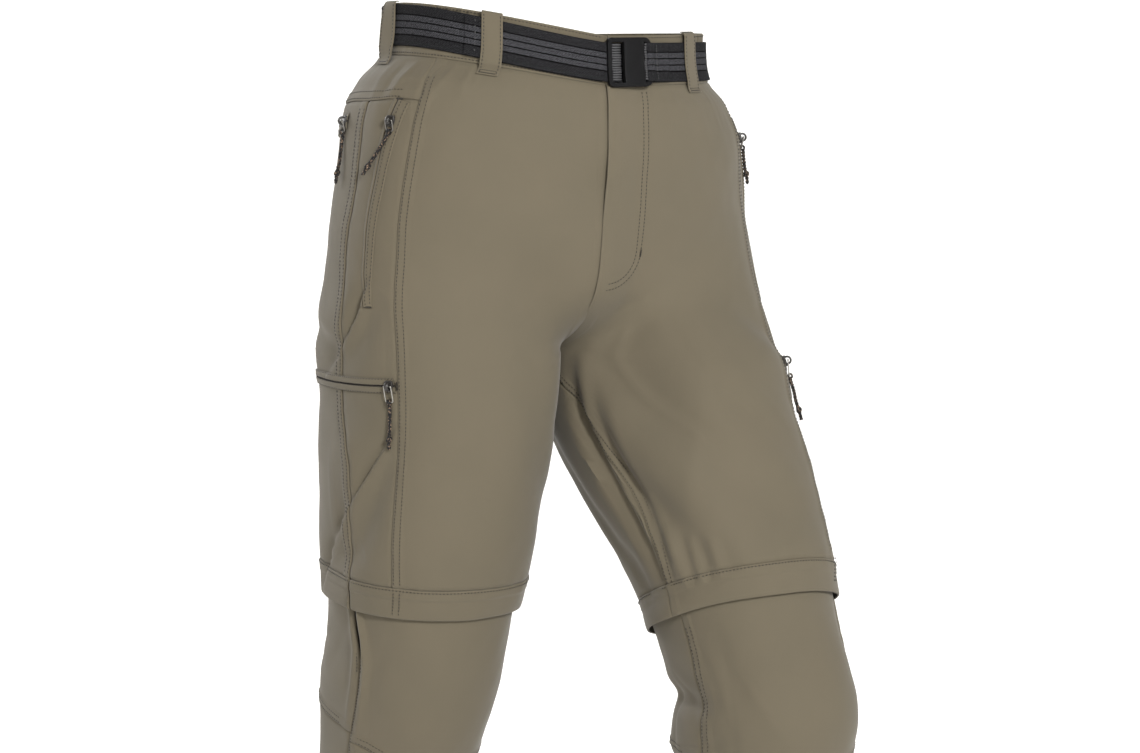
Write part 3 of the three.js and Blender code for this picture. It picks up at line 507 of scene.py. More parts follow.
def outward(side, turn, drop):
    """Outward direction of the smooth form, and millimetres to a turn."""
    across = smooth_point(side, turn + PROBE_TURN, drop) - smooth_point(side, turn - PROBE_TURN, drop)
    down = smooth_point(side, turn, drop + PROBE_DROP) - smooth_point(side, turn, drop - PROBE_DROP)
    normal = np.cross(down, across) * side.sign
    scale = np.linalg.norm(across, axis=-1) / (2 * PROBE_TURN)
    return unit(normal), scale


def mm_per_turn(side, turn, drop):
    return outward(side, turn, drop)[1]


# share of a crease that the doubled cloth of the outseam holds flat, and how far that reaches
SEAM_HOLD = 0.65
SEAM_HOLD_REACH = 9


def cloth_point(side, turn, drop, height):
    """Points at a height over the cloth's outer face, all arrays of one shape."""
    turn, drop, height = np.broadcast_arrays(turn, drop, height)
    normal, scale = outward(side, turn, drop)
    fine = fold_height(side.hollows, turn, drop) + fold_height(side.creases, turn, drop, sharp_profile)
    fine = fine + fold_height(side.steps, turn, drop, step_profile)
    from_outseam = (turn - column(OUTSEAM, "turn", drop)) * MM_PER_TURN
    held = SEAM_HOLD * soft_profile(from_outseam, SEAM_HOLD_REACH)
    relief = fold_height(side.folds, turn, drop) + fine * (1 - held)
    relief = relief + unevenness(side, turn, drop) * ramp(*UNEVEN_START, drop)
    relief = relief + puckers(side, turn, drop, scale)
    return smooth_point(side, turn, drop) + normal * (height + relief)[..., None]


def yoke_line(turn):
    return 80 + 4 * ramp(0.36, 0.5, turn) + 12 * ramp(0.5, 1, turn)


def cargo_line(turn):
    return 316 + 13 * ramp(0.38, 0.56, turn)


def hem_line(side, drop):
    return lambda turn: drop - side.hem_tilt * np.cos(2 * math.pi * turn)


def front_knee_line(turn):
    return FRONT_KNEE_SEAM - 12 * ramp(0.3, 0.46, turn)


def level(value):
    return lambda turn: value + 0 * turn


def seam(rows):
    return lambda drop: column(rows, "turn", drop)


def inseam(side, lap):
    return lambda drop: lap + column(INSEAM, side.label, drop)


PUCKER_REACH = 7
PUCKER_HEIGHT = 0.16
INSEAM_PUCKERS = 1.4
BELT_PUCKER_DROP = 58

# a short and a long wave: share of the height, run of a wave, how much it wanders and over what run
PUCKER_WAVES = ((1, 2.6, 1.7, 11), (0.7, 4.9, 2.1, 23))

# seams that run down, with where their puckers start and end
PUCKER_SEAMS = ((SIDE_FRONT_SEAM, 60, 560), (OUTSEAM, 90, ANKLE_DROP))


def puckers(side, turn, drop, scale):
    """Small waves that the stitching draws into the cloth beside each seam."""
    height = np.zeros(np.broadcast(turn, drop).shape)

    def beside(distance, along):
        wave = sum(
            share * np.sin(along / run + wander * np.sin(along / over))
            for share, run, wander, over in PUCKER_WAVES
        )
        return PUCKER_HEIGHT * wave * soft_profile(distance, PUCKER_REACH)

    for rows, start, end in PUCKER_SEAMS:
        distance = (turn - column(rows, "turn", drop)) * scale
        share = ramp(start - 10, start + 20, drop) * (1 - ramp(end - 20, end, drop))
        height = height + beside(distance, drop) * share
    from_inseam = np.abs(turn - np.round(turn) - column(INSEAM, side.label, drop)) * scale
    height = height + INSEAM_PUCKERS * beside(from_inseam, drop) * ramp(CROTCH_DROP - 50, CROTCH_DROP, drop)
    knee = np.where(turn < column(OUTSEAM, "turn", drop), front_knee_line(turn), BACK_KNEE_SEAM)
    for line in (yoke_line(turn), hem_line(side, HEM_BAND_TOP)(turn), knee, BELT_PUCKER_DROP + 0 * turn):
        height = height + beside(drop - line, turn * MM_PER_TURN)
    return height


# meshes

def add_bevel(piece, name, width, segments, angle):
    bevel = piece.modifiers.new(name, "BEVEL")
    bevel.width = width * METRES
    bevel.segments = segments
    bevel.limit_method = "ANGLE"
    bevel.angle_limit = math.radians(angle)


def soften_bends(piece):
    smooth = piece.modifiers.new("soft_bends", "SUBSURF")
    smooth.levels = smooth.render_levels = 1


def add_object(name, mesh, finish):
    piece = bpy.data.objects.new(name, mesh)
    bpy.context.scene.collection.objects.link(piece)
    mesh.materials.append(MATERIALS[finish])
    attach(piece, ROOT)
    return piece


def make_mesh(name, points, faces, uv=None, sharp=50):
    """Closed mesh from points in millimetres, with faces turned out and a texture map in metres."""
    mesh = bpy.data.meshes.new(name)
    mesh.from_pydata((np.asarray(points).reshape(-1, 3) * METRES).tolist(), [], faces)
    form = bmesh.new()
    form.from_mesh(mesh)
    bmesh.ops.recalc_face_normals(form, faces=form.faces)
    form.to_mesh(mesh)
    form.free()
    if uv is not None:
        corners = np.zeros(len(mesh.loops), int)
        mesh.loops.foreach_get("vertex_index", corners)
        layer = mesh.uv_layers.new(name="cloth_metres")
        layer.data.foreach_set("uv", (np.asarray(uv).reshape(-1, 2) * METRES)[corners].ravel())
    mesh.polygons.foreach_set("use_smooth", np.ones(len(mesh.polygons), bool))
    if sharp:
        mesh.set_sharp_from_angle(angle=math.radians(sharp))
    return mesh


def shell_faces(rows, columns, ring=False):
    """Faces of a closed wall whose outer grid comes first and inner grid second."""
    count = rows * columns
    ids = np.arange(count).reshape(rows, columns)
    if ring:
        ids = np.concatenate([ids, ids[:, :1]], axis=1)

    def grid(a):
        return np.stack([a[:-1, :-1], a[1:, :-1], a[1:, 1:], a[:-1, 1:]], axis=-1).reshape(-1, 4)

    def rim(line):
        return np.stack([line[:-1], line[1:], line[1:] + count, line[:-1] + count], axis=-1)

    faces = [grid(ids), grid(ids + count), rim(ids[0]), rim(ids[-1])]
    if not ring:
        faces += [rim(ids[:, 0]), rim(ids[:, -1])]
    return np.concatenate(faces).tolist()


# distance between a cloth mesh's lines: usual, where creases are sharp, and behind or below the photo's edge
GRID = 3.2
FINE_GRID = 1.8
COARSE_GRID = 5.2
EDGE_STEPS = np.array([0, 0.5, 1.2, 2.5, 4.5, 7.4, 8.7, 10, 13])
EDGE_SHARE = 0.4


def spaced(length, spacing=GRID):
    """Distances along a length, closer together near both sewn ends."""
    steps = EDGE_STEPS[EDGE_STEPS < length * EDGE_SHARE]
    inner = length - 2 * steps[-1]
    middle = np.linspace(steps[-1], length - steps[-1], max(2, int(inner / spacing) + 2))
    return np.concatenate([steps[:-1], middle, length - steps[-2::-1]])


LAP_WIDTH = 9.2
LAP_HEIGHT = 0.65
LAP_EASE = 0.7
LAP_ROLL = 0.5
TUCK = 2.5
TUCK_DEPTH = 1.6
TUCK_EDGE = (-0.8, 1.3)
HEM_ROLL = 0.7
HEM_ROLL_REACH = 0.6
CLOTH_THICK = 0.9


def edge_height(kind, distance):
    """How an edge lies: folded and lapped over its neighbour, tucked under it, or a free hem."""
    if kind == "lap":
        fold = LAP_HEIGHT * (1 - ramp(LAP_WIDTH - LAP_EASE, LAP_WIDTH + LAP_EASE, distance))
        return fold - LAP_ROLL * np.exp(-np.maximum(distance, 0) / LAP_ROLL)
    if kind == "tuck":
        return -TUCK_DEPTH * (1 - ramp(*TUCK_EDGE, distance))
    return -HEM_ROLL * np.exp(-np.maximum(distance, 0) / HEM_ROLL_REACH)


# rounds in which turn and drop settle where a panel's seams and levels slant
SETTLE_ROUNDS = 5


def panel_grid(side, start, end, top, bottom, edges, spacing=GRID):
    """Turn, drop and edge height of a panel's points between two seams and two levels."""
    middle_turn = (start(CROTCH_DROP) + end(CROTCH_DROP)) / 2
    high, low = float(top(middle_turn)), float(bottom(middle_turn))
    middle = (high + low) / 2
    width = (end(middle) - start(middle)) * mm_per_turn(side, (start(middle) + end(middle)) / 2, middle)
    reach = [TUCK if kind == "tuck" else 0 for kind in edges]
    across = (spaced(width + reach[0] + reach[1], spacing) - reach[0]) / width
    height = low - high
    down = (spaced(height + reach[2] + reach[3], spacing) - reach[2]) / height
    u, v = np.meshgrid(across, down)
    drop = mix(high, low, v)
    for _ in range(SETTLE_ROUNDS):
        turn = mix(start(drop), end(drop), u)
        drop = mix(top(turn), bottom(turn), v)
    scale = mm_per_turn(side, turn, drop)
    distances = (
        (turn - start(drop)) * scale,
        (end(drop) - turn) * scale,
        drop - top(turn),
        bottom(turn) - drop,
    )
    rise = sum(edge_height(kind, distance) for kind, distance in zip(edges, distances))
    return turn, drop, rise


def add_panel(
    node, side, start, end, top, bottom, edges,
    height=None, thick=CLOTH_THICK, spacing=GRID,
):
    turn, drop, rise = panel_grid(side, start, end, top, bottom, edges, spacing)
    if height is not None:
        rise = rise + height(turn, drop)
    outer = cloth_point(side, turn, drop, rise)
    inner = cloth_point(side, turn, drop, rise - thick)
    uv = np.stack([turn * MM_PER_TURN, -drop], axis=-1)
    mesh = make_mesh(node, np.stack([outer, inner]), shell_faces(*turn.shape), np.stack([uv, uv]))
    piece = add_object(f"cloth_{node}", mesh, "cloth")
    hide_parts(node)
    smooth_point(side, turn, drop)
    return piece


# the fly's free edge laps over the other front and stands off it, less and less towards the crotch
FLY_LAP = 4
FLY_LAP_END = (FLY_BOTTOM + 16, FLY_BOTTOM + 46)
FLY_LIFT = 4
FLY_EASE_SHARE = 0.25
FLY_LIFT_EASE = (80, 200)
FLY_LIFT_END = (FLY_BOTTOM - 20, FLY_BOTTOM + 44)
FLY_LIFT_REACH = (3, 34)


def fly_edge(side):
    def edge(drop):
        share = 1 - ramp(*FLY_LAP_END, drop)
        return inseam(side, 0)(drop) - FLY_LAP * share / mm_per_turn(side, 0.01 + 0 * drop, drop)
    return edge


def fly_lift(side):
    def lift(turn, drop):
        from_centre = turn * mm_per_turn(side, 0.02 + 0 * drop, drop)
        eased = FLY_EASE_SHARE * ramp(*FLY_LIFT_EASE, drop)
        share = 1 - eased - (1 - FLY_EASE_SHARE) * ramp(*FLY_LIFT_END, drop)
        return FLY_LIFT * share * (1 - ramp(*FLY_LIFT_REACH, from_centre))
    return lift


def add_shorts(side):
    """The panels from the waistband to the zip-off hem."""
    name = side.label
    laps = side is LEFT
    hem = hem_line(side, HEM_BAND_TOP)
    band = level(BAND_HEIGHT)
    side_front, out = seam(SIDE_FRONT_SEAM), seam(OUTSEAM)
    front_start = fly_edge(side) if laps else inseam(side, 0)
    lift = fly_lift(side) if laps else None
    waist, yoke, upper = f"waistband_{name}", f"yoke_{name}", f"side_upper_{name}"
    add_panel(
        f"front_{name}", side, front_start, side_front, band, hem,
        ("lap", "lap", "tuck", "tuck"), lift,
    )
    tucked = ("tuck", "tuck", "tuck", "tuck")
    add_panel(upper, side, side_front, out, yoke_line, cargo_line, tucked, spacing=FINE_GRID)
    add_panel(f"cargo_{name}", side, side_front, out, cargo_line, hem, tucked, spacing=FINE_GRID)
    add_panel(yoke, side, side_front, level(1), band, yoke_line, ("tuck", "lap", "tuck", "lap"))
    add_panel(
        f"back_{name}", side, out, inseam(side, 1), yoke_line, hem,
        ("lap", "tuck", "tuck", "tuck"), spacing=COARSE_GRID,
    )


BAND_GAP = 1.8
BAND_CORNER = 9
BAND_TOP_CORNER = 3.5
BAND_ROUNDNESS = 0.98
BAND_STAND = 0.15
BAND_FLARE = 2
BAND_CURL_WIDTH = 0.05
BAND_END_LIFT = 2.4
BAND_END_REACH = 9
BAND_END_TOP = 0.4
BAND_THICK = 1.3


def add_hem_band(side):
    """The front part ends in a free rounded corner at the outseam, over the back part."""
    name = side.label
    top, bottom = hem_line(side, HEM_BAND_TOP), hem_line(side, HEM_BAND_BOTTOM)
    open_end = float(seam(OUTSEAM)(np.array(float(HEM_BAND_TOP))))

    def from_end(turn):
        return np.maximum(open_end - turn, 0) * MM_PER_TURN

    def corner(turn, radius):
        inside = np.clip(1 - from_end(turn) / radius, 0, 1)
        return radius * (1 - np.sqrt(1 - BAND_ROUNDNESS * inside**2))

    def rounded_bottom(turn):
        return bottom(turn) - corner(turn, BAND_CORNER)

    def rounded_top(turn):
        return top(turn) + corner(turn, BAND_TOP_CORNER)

    def front_end(drop):
        return seam(OUTSEAM)(drop) - BAND_GAP / MM_PER_TURN

    def height(turn, drop):
        share = ramp(top(turn), bottom(turn), drop)
        inner = soft_profile(turn - np.round(turn), BAND_CURL_WIDTH)
        lifted = np.where(turn < open_end, BAND_END_LIFT * np.exp(-from_end(turn) / BAND_END_REACH), 0)
        flare = (BAND_FLARE + side.hem_curl * inner) * share
        return BAND_STAND + flare + lifted * mix(BAND_END_TOP, 1, share)

    edges = ("lap", "hem", "lap", "hem")
    add_panel(
        f"hem_band_front_{name}", side, inseam(side, 0), front_end, rounded_top, rounded_bottom,
        edges, height, BAND_THICK, FINE_GRID,
    )
    edges = ("hem", "tuck", "lap", "hem")
    add_panel(
        f"hem_band_back_{name}", side, seam(OUTSEAM), inseam(side, 1), top, bottom,
        edges, height, BAND_THICK,
    )


ZIP_OPENING_START = 521
ZIP_OPENING_END = 580
ZIP_OPENING_HALF = 2.6
ZIP_MOUTH_EASE = 8
ZIP_CLOSING = 26
LEG_MM_PER_TURN = 480
LIP_FRONT = 4.6
LIP_BACK = 3.4
LIP_PLACE = 6
LIP_WIDTH = 3.4
LIP_RUN_OUT = 90


def open_seam(side, direction):
    def edge(drop):
        mouth = ramp(LOWER_LEG_TOP - 1, ZIP_OPENING_START + ZIP_MOUTH_EASE, drop)
        closed = ramp(ZIP_OPENING_END - ZIP_CLOSING, ZIP_OPENING_END, drop)
        spread = ZIP_OPENING_HALF * mouth * (1 - closed)
        middle = column(OUTSEAM, "turn", drop)
        return middle + direction * spread / mm_per_turn(side, middle, drop)
    return edge


def inset(turn, drop):
    """The lower leg lies inside the shorts; the lips of its short side zip stand up a little."""
    from_zip = (turn - column(OUTSEAM, "turn", drop)) * LEG_MM_PER_TURN
    lip = np.where(from_zip < 0, LIP_FRONT, LIP_BACK)
    lip = lip * soft_profile(np.abs(from_zip) - LIP_PLACE, LIP_WIDTH)
    lip = lip * (1 - ramp(ZIP_OPENING_END, ZIP_OPENING_END + LIP_RUN_OUT, drop))
    return -LOWER_LEG_INSET + lip


def add_lower_leg(side):
    """Front and back of the lower leg, each with its shaped knee seam."""
    name = side.label
    start, zip_front = inseam(side, 0), open_seam(side, -1)
    zip_back, end = open_seam(side, 1), inseam(side, 1)
    top = hem_line(side, LOWER_LEG_TOP)
    back_knee, ankle = level(BACK_KNEE_SEAM), level(ANKLE_DROP)
    edges = ("lap", "hem", "hem", "lap")
    add_panel(f"knee_front_{name}", side, start, zip_front, top, front_knee_line, edges, inset)
    edges = ("lap", "lap", "tuck", "hem")
    add_panel(
        f"shin_front_{name}", side, start, zip_front, front_knee_line, ankle,
        edges, inset, spacing=COARSE_GRID,
    )
    edges = ("hem", "tuck", "hem", "lap")
    add_panel(f"knee_back_{name}", side, zip_back, end, top, back_knee, edges, inset)
    edges = ("tuck", "tuck", "tuck", "hem")
    add_panel(
        f"calf_back_{name}", side, zip_back, end, back_knee, ankle,
        edges, inset, spacing=COARSE_GRID,
    )


# elastic gathers at the sides of the waistband
GATHER_WAVES = 19
GATHER_START = 0.2
GATHER_STARTED = 0.26
GATHER_ENDING = 0.65
GATHER_END = 0.7
GATHER_DEPTH = 1.7
GATHER_WANDER = 0.9
GATHER_WANDER_EVERY = 3.3
GATHER_FADE = (4, 38)
GATHER_FADED = 0.8
TOP_ROLL = 0.5
TOP_ROLL_REACH = 4
WAISTBAND_THICK = 1.6
WAISTBAND_GRID = 2.6


def band_height(turn, drop):
    inside = ramp(GATHER_START, GATHER_STARTED, turn) * (1 - ramp(GATHER_ENDING, GATHER_END, turn))
    phase = 2 * math.pi * GATHER_WAVES * (turn - GATHER_START) / (GATHER_END - GATHER_START)
    wave = 0.5 - 0.5 * np.cos(phase + GATHER_WANDER * np.sin(phase / GATHER_WANDER_EVERY))
    roll = TOP_ROLL * soft_profile(drop, TOP_ROLL_REACH)
    return roll - GATHER_DEPTH * inside * wave * (1 - GATHER_FADED * ramp(*GATHER_FADE, drop))


def add_waistband(side):
    edges = ("lap", "lap", "hem", "lap") if side is LEFT else ("tuck", "tuck", "hem", "lap")
    add_panel(
        f"waistband_{side.label}", side, level(0), level(1), level(0), level(BAND_HEIGHT),
        edges, band_height, WAISTBAND_THICK, WAISTBAND_GRID,
    )


# belt, buckle and loops, wrapped round the waist

BELT_WIDTH = 36
BELT_THICK = 2
BELT_CLEAR = 0.8
BELT_TOP_FRONT = 7
BELT_TOP_LEFT = 8
BELT_TOP_RIGHT = 1.5
BELT_TOP_EASE = (0.05, 0.5)
TAIL_HEIGHT = BELT_CLEAR + BELT_THICK + 0.4
TAIL_START = -52
TAIL_END = -8
TAIL_RISE = 1.4
STRAP_START = -18
STRAP_END = -28
BUCKLE_CENTRE = 4.6
BUCKLE_WIDTH = 47
BUCKLE_HEIGHT = 46
BUCKLE_ABOVE = 5
BUCKLE_INNER = 5.7
BUCKLE_THICK = 4.6
BUCKLE_BAR = 6.5
BUCKLE_SLOT = 12
BUCKLE_END_SLOT = 4
BUCKLE_END_BAR = 4
BUCKLE_CORNER = 8
BUCKLE_LINES = 40
SLOT_CLEAR = 1


def round_waist(degrees):
    """Share of a side's turn at directions round the waist, and whether each is on the left."""
    around = np.mod(degrees, 360)
    on_left = around <= 180
    return np.where(on_left, around / 180, 2 - around / 180), on_left


def waist_point(degrees, drop, height):
    """Points round the waist, on the plain form of the band with no gathers."""
    degrees, drop, height = np.broadcast_arrays(np.asarray(degrees, float), drop, height)
    turn, on_left = round_waist(degrees)
    points = []
    for side in (LEFT, RIGHT):
        normal, _ = outward(side, turn, drop)
        points.append(smooth_point(side, turn, drop) + normal * height[..., None])
    return np.where(on_left[..., None], points[0], points[1])


def belt_top(degrees):
    turn, on_left = round_waist(degrees)
    at_side = np.where(on_left, BELT_TOP_LEFT, BELT_TOP_RIGHT)
    return mix(BELT_TOP_FRONT, at_side, ramp(*BELT_TOP_EASE, turn))


def along_waist(degrees, distance):
    """Directions that lie distances along the belt from one direction."""
    middle = BELT_WIDTH / 2

    def per_degree(at):
        chord = waist_point(at - 1, middle, 0.0) - waist_point(at + 1, middle, 0.0)
        return np.linalg.norm(chord, axis=-1) / 2

    halfway = degrees + distance / 2 / per_degree(np.asarray(degrees, float))
    return degrees + distance / per_degree(halfway)


def wrap(points, centre, top):
    """Bend flat points (along the belt, down, out) round the waist."""
    points = np.asarray(points, float)
    return waist_point(along_waist(centre, points[..., 0]), top + points[..., 1], points[..., 2])


RIB = 0.22
RIB_HALF_WIDTH = 0.35
STRIPE_EDGES = (9, 15)
SELVEDGE_WIDTH = 2.4
SELVEDGE_ROUND = 0.55
INNER_CROWN = 0.3
MM_PER_DEGREE = 2.6
WEBBING_STEP = 2.2
WEBBING_UV_ROW = 8

# places across the webbing's half width, close together at its edge and beside the stripes' grooves
WEBBING_LINES = np.array([0, 0.25, 0.7, 1.4, 2.2, 3.2, 5, 7, 8.6, 9, 9.4, 12, 14.6, 15, 15.4])


def add_webbing(node, start, end, base):
    """Woven strap with raised edges and ribs along the stripes."""
    steps = int(abs(end - start) * MM_PER_DEGREE / WEBBING_STEP)
    across = np.concatenate([WEBBING_LINES, [BELT_WIDTH / 2], BELT_WIDTH - WEBBING_LINES[::-1]])
    degrees = np.linspace(start, end, steps)
    d, a = np.meshgrid(degrees, across)
    edge = np.minimum(a, BELT_WIDTH - a)
    crown = RIB * np.sin(math.pi * np.clip(edge / SELVEDGE_WIDTH, 0, 1))
    crown = crown - SELVEDGE_ROUND * np.exp(-edge / RIB_HALF_WIDTH)
    for groove in STRIPE_EDGES:
        crown = crown - RIB * soft_profile(edge - groove, RIB_HALF_WIDTH)
    outer = waist_point(d, belt_top(d) + a, base(d) + BELT_THICK + crown)
    inner = waist_point(d, belt_top(d) + a, base(d) - INNER_CROWN * crown)
    uv = np.stack(np.broadcast_arrays(run_along(outer[WEBBING_UV_ROW])[None, :], a), axis=-1)
    mesh = make_mesh(node, np.stack([outer, inner]), shell_faces(*d.shape), np.stack([uv, uv]), 70)
    piece = add_object(f"webbing_{node}", mesh, "webbing")
    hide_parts(node)


def add_belt():
    ends = np.array([STRAP_START, STRAP_END, TAIL_END], float)
    start, end, tail_end = along_waist(BUCKLE_CENTRE, ends).tolist()
    add_webbing("belt_strap", start, 360 + end, level(BELT_CLEAR))
    add_webbing("belt_tail", TAIL_START, tail_end, tail_base)


# directions between which the free end rises
TAIL_CLIMB = (BUCKLE_CENTRE - 14, BUCKLE_CENTRE - 9)


def tail_base(degrees):
    """The free end rises to pass through the buckle's slot, over the bar between."""
    return TAIL_HEIGHT + TAIL_RISE * ramp(*TAIL_CLIMB, degrees)


# the buckle's plate crowns about a place beside its middle
CROWN_PLACE = 4
CROWN_HALF_WIDTH = 12
CROWN_HALF_HEIGHT = 24
CROWN_HEIGHT = 1.1
BUCKLE_FACE = BUCKLE_INNER + BUCKLE_THICK - 0.6


def add_buckle():
    """Moulded plate: rim, two slots, and a plate that crowns between them."""
    half = BUCKLE_WIDTH / 2
    slots = (
        (-half + BUCKLE_BAR, -half + BUCKLE_BAR + BUCKLE_SLOT),
        (half - BUCKLE_END_BAR - BUCKLE_END_SLOT, half - BUCKLE_END_BAR),
    )
    form = bmesh.new()
    y0, y1 = -BUCKLE_ABOVE, BUCKLE_HEIGHT - BUCKLE_ABOVE
    slot_ends = [-SLOT_CLEAR, BELT_WIDTH + SLOT_CLEAR]
    middle = (y0 + y1) / 2
    xs = np.unique(np.round([*np.linspace(-half, half, BUCKLE_LINES), *slots[0], *slots[1]], 3))
    ys = np.unique(np.round([*np.linspace(y0, y1, BUCKLE_LINES), *slot_ends], 3))

    def solid(x, y):
        return not any(low < x < high and slot_ends[0] < y < slot_ends[1] for low, high in slots)

    corners = {}

    def vertex(i, j):
        if (i, j) not in corners:
            x, y = float(xs[i]), float(ys[j])
            dx = abs(x) - (half - BUCKLE_CORNER)
            dy = abs(y - middle) - (BUCKLE_HEIGHT / 2 - BUCKLE_CORNER)
            if dx > 0 and dy > 0:
                shrink = max(dx, dy) / math.hypot(dx, dy)
                x = math.copysign(half - BUCKLE_CORNER + dx * shrink, x)
                y = middle + math.copysign(BUCKLE_HEIGHT / 2 - BUCKLE_CORNER + dy * shrink, y - middle)
            corners[i, j] = form.verts.new((x, y, 0))
        return corners[i, j]

    for i in range(len(xs) - 1):
        for j in range(len(ys) - 1):
            if solid((xs[i] + xs[i + 1]) / 2, (ys[j] + ys[j + 1]) / 2):
                form.faces.new([vertex(i, j), vertex(i + 1, j), vertex(i + 1, j + 1), vertex(i, j + 1)])
    flat = bpy.data.meshes.new("buckle_flat")
    form.to_mesh(flat)
    form.free()
    count = len(flat.vertices)
    flat_points = np.zeros(count * 3)
    flat.vertices.foreach_get("co", flat_points)
    flat_points = flat_points.reshape(-1, 3)
    faces = [list(face.vertices) for face in flat.polygons]
    edge_use = {}
    for face in faces:
        for a, b in zip(face, face[1:] + face[:1]):
            edge_use.setdefault((min(a, b), max(a, b)), []).append((a, b))
    rims = [pairs[0] for pairs in edge_use.values() if len(pairs) == 1]
    x, y = flat_points[:, 0], flat_points[:, 1]
    crown_across = np.clip(1 - ((x - CROWN_PLACE) / CROWN_HALF_WIDTH) ** 2, 0, 1)
    crown_down = np.clip(1 - ((y - middle) / CROWN_HALF_HEIGHT) ** 2, 0, 1) ** 0.5
    outer = np.stack([x, y, BUCKLE_FACE + CROWN_HEIGHT * crown_across * crown_down], axis=-1)
    inner = np.stack([x, y, np.full(count, BUCKLE_INNER)], axis=-1)
    faces = faces + [[i + count for i in reversed(face)] for face in faces]
    faces += [[a, b, b + count, a + count] for a, b in rims]
    top = float(belt_top(BUCKLE_CENTRE))
    points = wrap(np.concatenate([outer, inner]), BUCKLE_CENTRE, top)
    mesh = make_mesh("buckle", points, faces, sharp=0)
    bpy.data.meshes.remove(flat)
    piece = add_object("buckle_plate", mesh, "moulded_nylon")
    add_bevel(piece, "worn_edges", 0.9, 3, 50)
    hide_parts("buckle")


SLOT_RIB_PITCH = 2.3
SLOT_RIB_START = 1.4
SLOT_RIB_SWAY = 0.3
SLOT_RIB_WIDTH = 0.95
SLOT_RIB_HEIGHT = 0.8

# the ribs in each slot: their middle, half length and height
SLOT_RIBS = (
    (-BUCKLE_WIDTH / 2 + BUCKLE_BAR + BUCKLE_SLOT - 6.6, 5, TAIL_HEIGHT + BELT_THICK + 1.7),
    (BUCKLE_WIDTH / 2 - BUCKLE_END_BAR - BUCKLE_END_SLOT / 2 - 0.4, 1.5, BUCKLE_INNER + BUCKLE_THICK - 0.8),
)


def add_slot_ribs():
    """Webbing that bends over the bars shows its coarse ribs in both slots; they are coloured a lighter grey
    than the webbing, its grey stripes plus a painted highlight on the bend.
    """
    top = float(belt_top(BUCKLE_CENTRE))
    parts = []
    downs = np.arange(SLOT_RIB_START, BELT_WIDTH - 1, SLOT_RIB_PITCH)
    for middle, reach, height in SLOT_RIBS:
        places = [[middle + SLOT_RIB_SWAY * math.sin(5 * down), down, height] for down in downs]
        centre = wrap(places, BUCKLE_CENTRE, top)
        along = wrap([[x + 1, down, z] for x, down, z in places], BUCKLE_CENTRE, top) - centre
        out = wrap([[x, down, z + 1] for x, down, z in places], BUCKLE_CENTRE, top) - centre
        size = (reach, SLOT_RIB_WIDTH, SLOT_RIB_HEIGHT)
        parts.append(ovals(centre, along, np.cross(out, along), out, size))
    # the ribs' grey is lighter than the webbing: the webbing's grey plus a painted highlight where it bends
    # over the bars
    mesh = make_mesh("slot_ribs", *joined(parts), sharp=0)
    add_object("webbing_slot_ribs", mesh, "painted_highlight_ribs")


FOLD_HALF_THICK = 0.75
FOLD_EDGE_ROUND = 0.3
FOLD_EDGE_REACH = 0.4


def add_belt_fold():
    """The fixed end, folded round the buckle's outer bar and stitched down."""
    bar, end = BUCKLE_WIDTH / 2 - BUCKLE_END_BAR, BUCKLE_WIDTH / 2
    low = TAIL_HEIGHT
    high = BUCKLE_INNER + BUCKLE_THICK + 0.6
    line = np.array([
        (end + 24.5, low + 0.4), (end + 16, low + 0.4), (end + 8, low + 0.4), (end + 2, low + 0.3),
        (bar + 1, low + 0.2), (bar - 1.2, low + 1.1), (bar - 1.5, low + 3), (bar - 1.3, high - 1.4),
        (bar - 0.2, high), (bar + 2, high + 0.5), (end, high + 0.4), (end + 1.8, high - 0.8),
        (end + 3.6, low + 4.2), (end + 6, low + 2.7), (end + 10, low + 2.1), (end + 17, low + 2),
        (end + 24.5, low + 2),
    ])
    direction = unit(np.gradient(line, axis=0))
    normal = np.stack([-direction[:, 1], direction[:, 0]], axis=1)
    across = np.array([0, 0.3, 0.9, 2, 5, 9, 12, 15, 18, 21, 24, 27, 31, 34, 35.1, 35.7, 36])
    edge = np.minimum(across, BELT_WIDTH - across)
    half = FOLD_HALF_THICK - FOLD_EDGE_ROUND * np.exp(-edge / FOLD_EDGE_REACH)
    layers = []
    for sign in (1, -1):
        x = line[:, 0][None, :] + sign * half[:, None] * normal[:, 0][None, :]
        z = line[:, 1][None, :] + sign * half[:, None] * normal[:, 1][None, :]
        layers.append(np.stack([x, np.broadcast_to(across[:, None], x.shape), z], axis=-1))
    uv = np.stack(np.broadcast_arrays(run_along(line)[None, :], across[:, None]), axis=-1)
    points = wrap(np.stack(layers), BUCKLE_CENTRE, float(belt_top(BUCKLE_CENTRE)))
    mesh = make_mesh("belt_fold", points, shell_faces(len(across), len(line)), np.stack([uv, uv]), 70)
    piece = add_object("webbing_belt_fold", mesh, "webbing")
    soften_bends(piece)
    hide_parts("belt_fold")


LOOP_WIDTH = 18
LOOP_THICK = 1.3
LOOP_CLOTH = 0.9
LOOP_GAPE_TOP = -2
LOOP_GAPE_LENGTH = 54
LOOP_GAPE_POWER = 0.6

# name, direction, height of what it passes over, and how far its rear edge gapes
LOOPS = (
    ("loop_front_right", -41, 5.8, 0),
    ("loop_front_left", 36, 3.4, 0),
    ("loop_side_right", -93, 3.4, -5.5),
    ("loop_side_left", 90, 3.4, 5.5),
    ("loop_back", 180, 3.4, 0),
)


def loop_line(over):
    """Side view of a belt loop: distance down and height of its outer face."""
    high = over + LOOP_THICK
    return np.array([
        (-1.2, 0.4), (-1.7, 1.4), (-1.5, high - 1.2), (-0.4, high - 0.1), (2, high + 0.3), (10, high + 0.1),
        (20, high), (30, high), (40, high + 0.1), (44.5, high - 0.1), (46.6, high - 1), (48.6, 3.4),
        (50, 2.4), (52, 2.2), (53.6, 2.1), (54, 1.6), (54, 0.9),
    ])


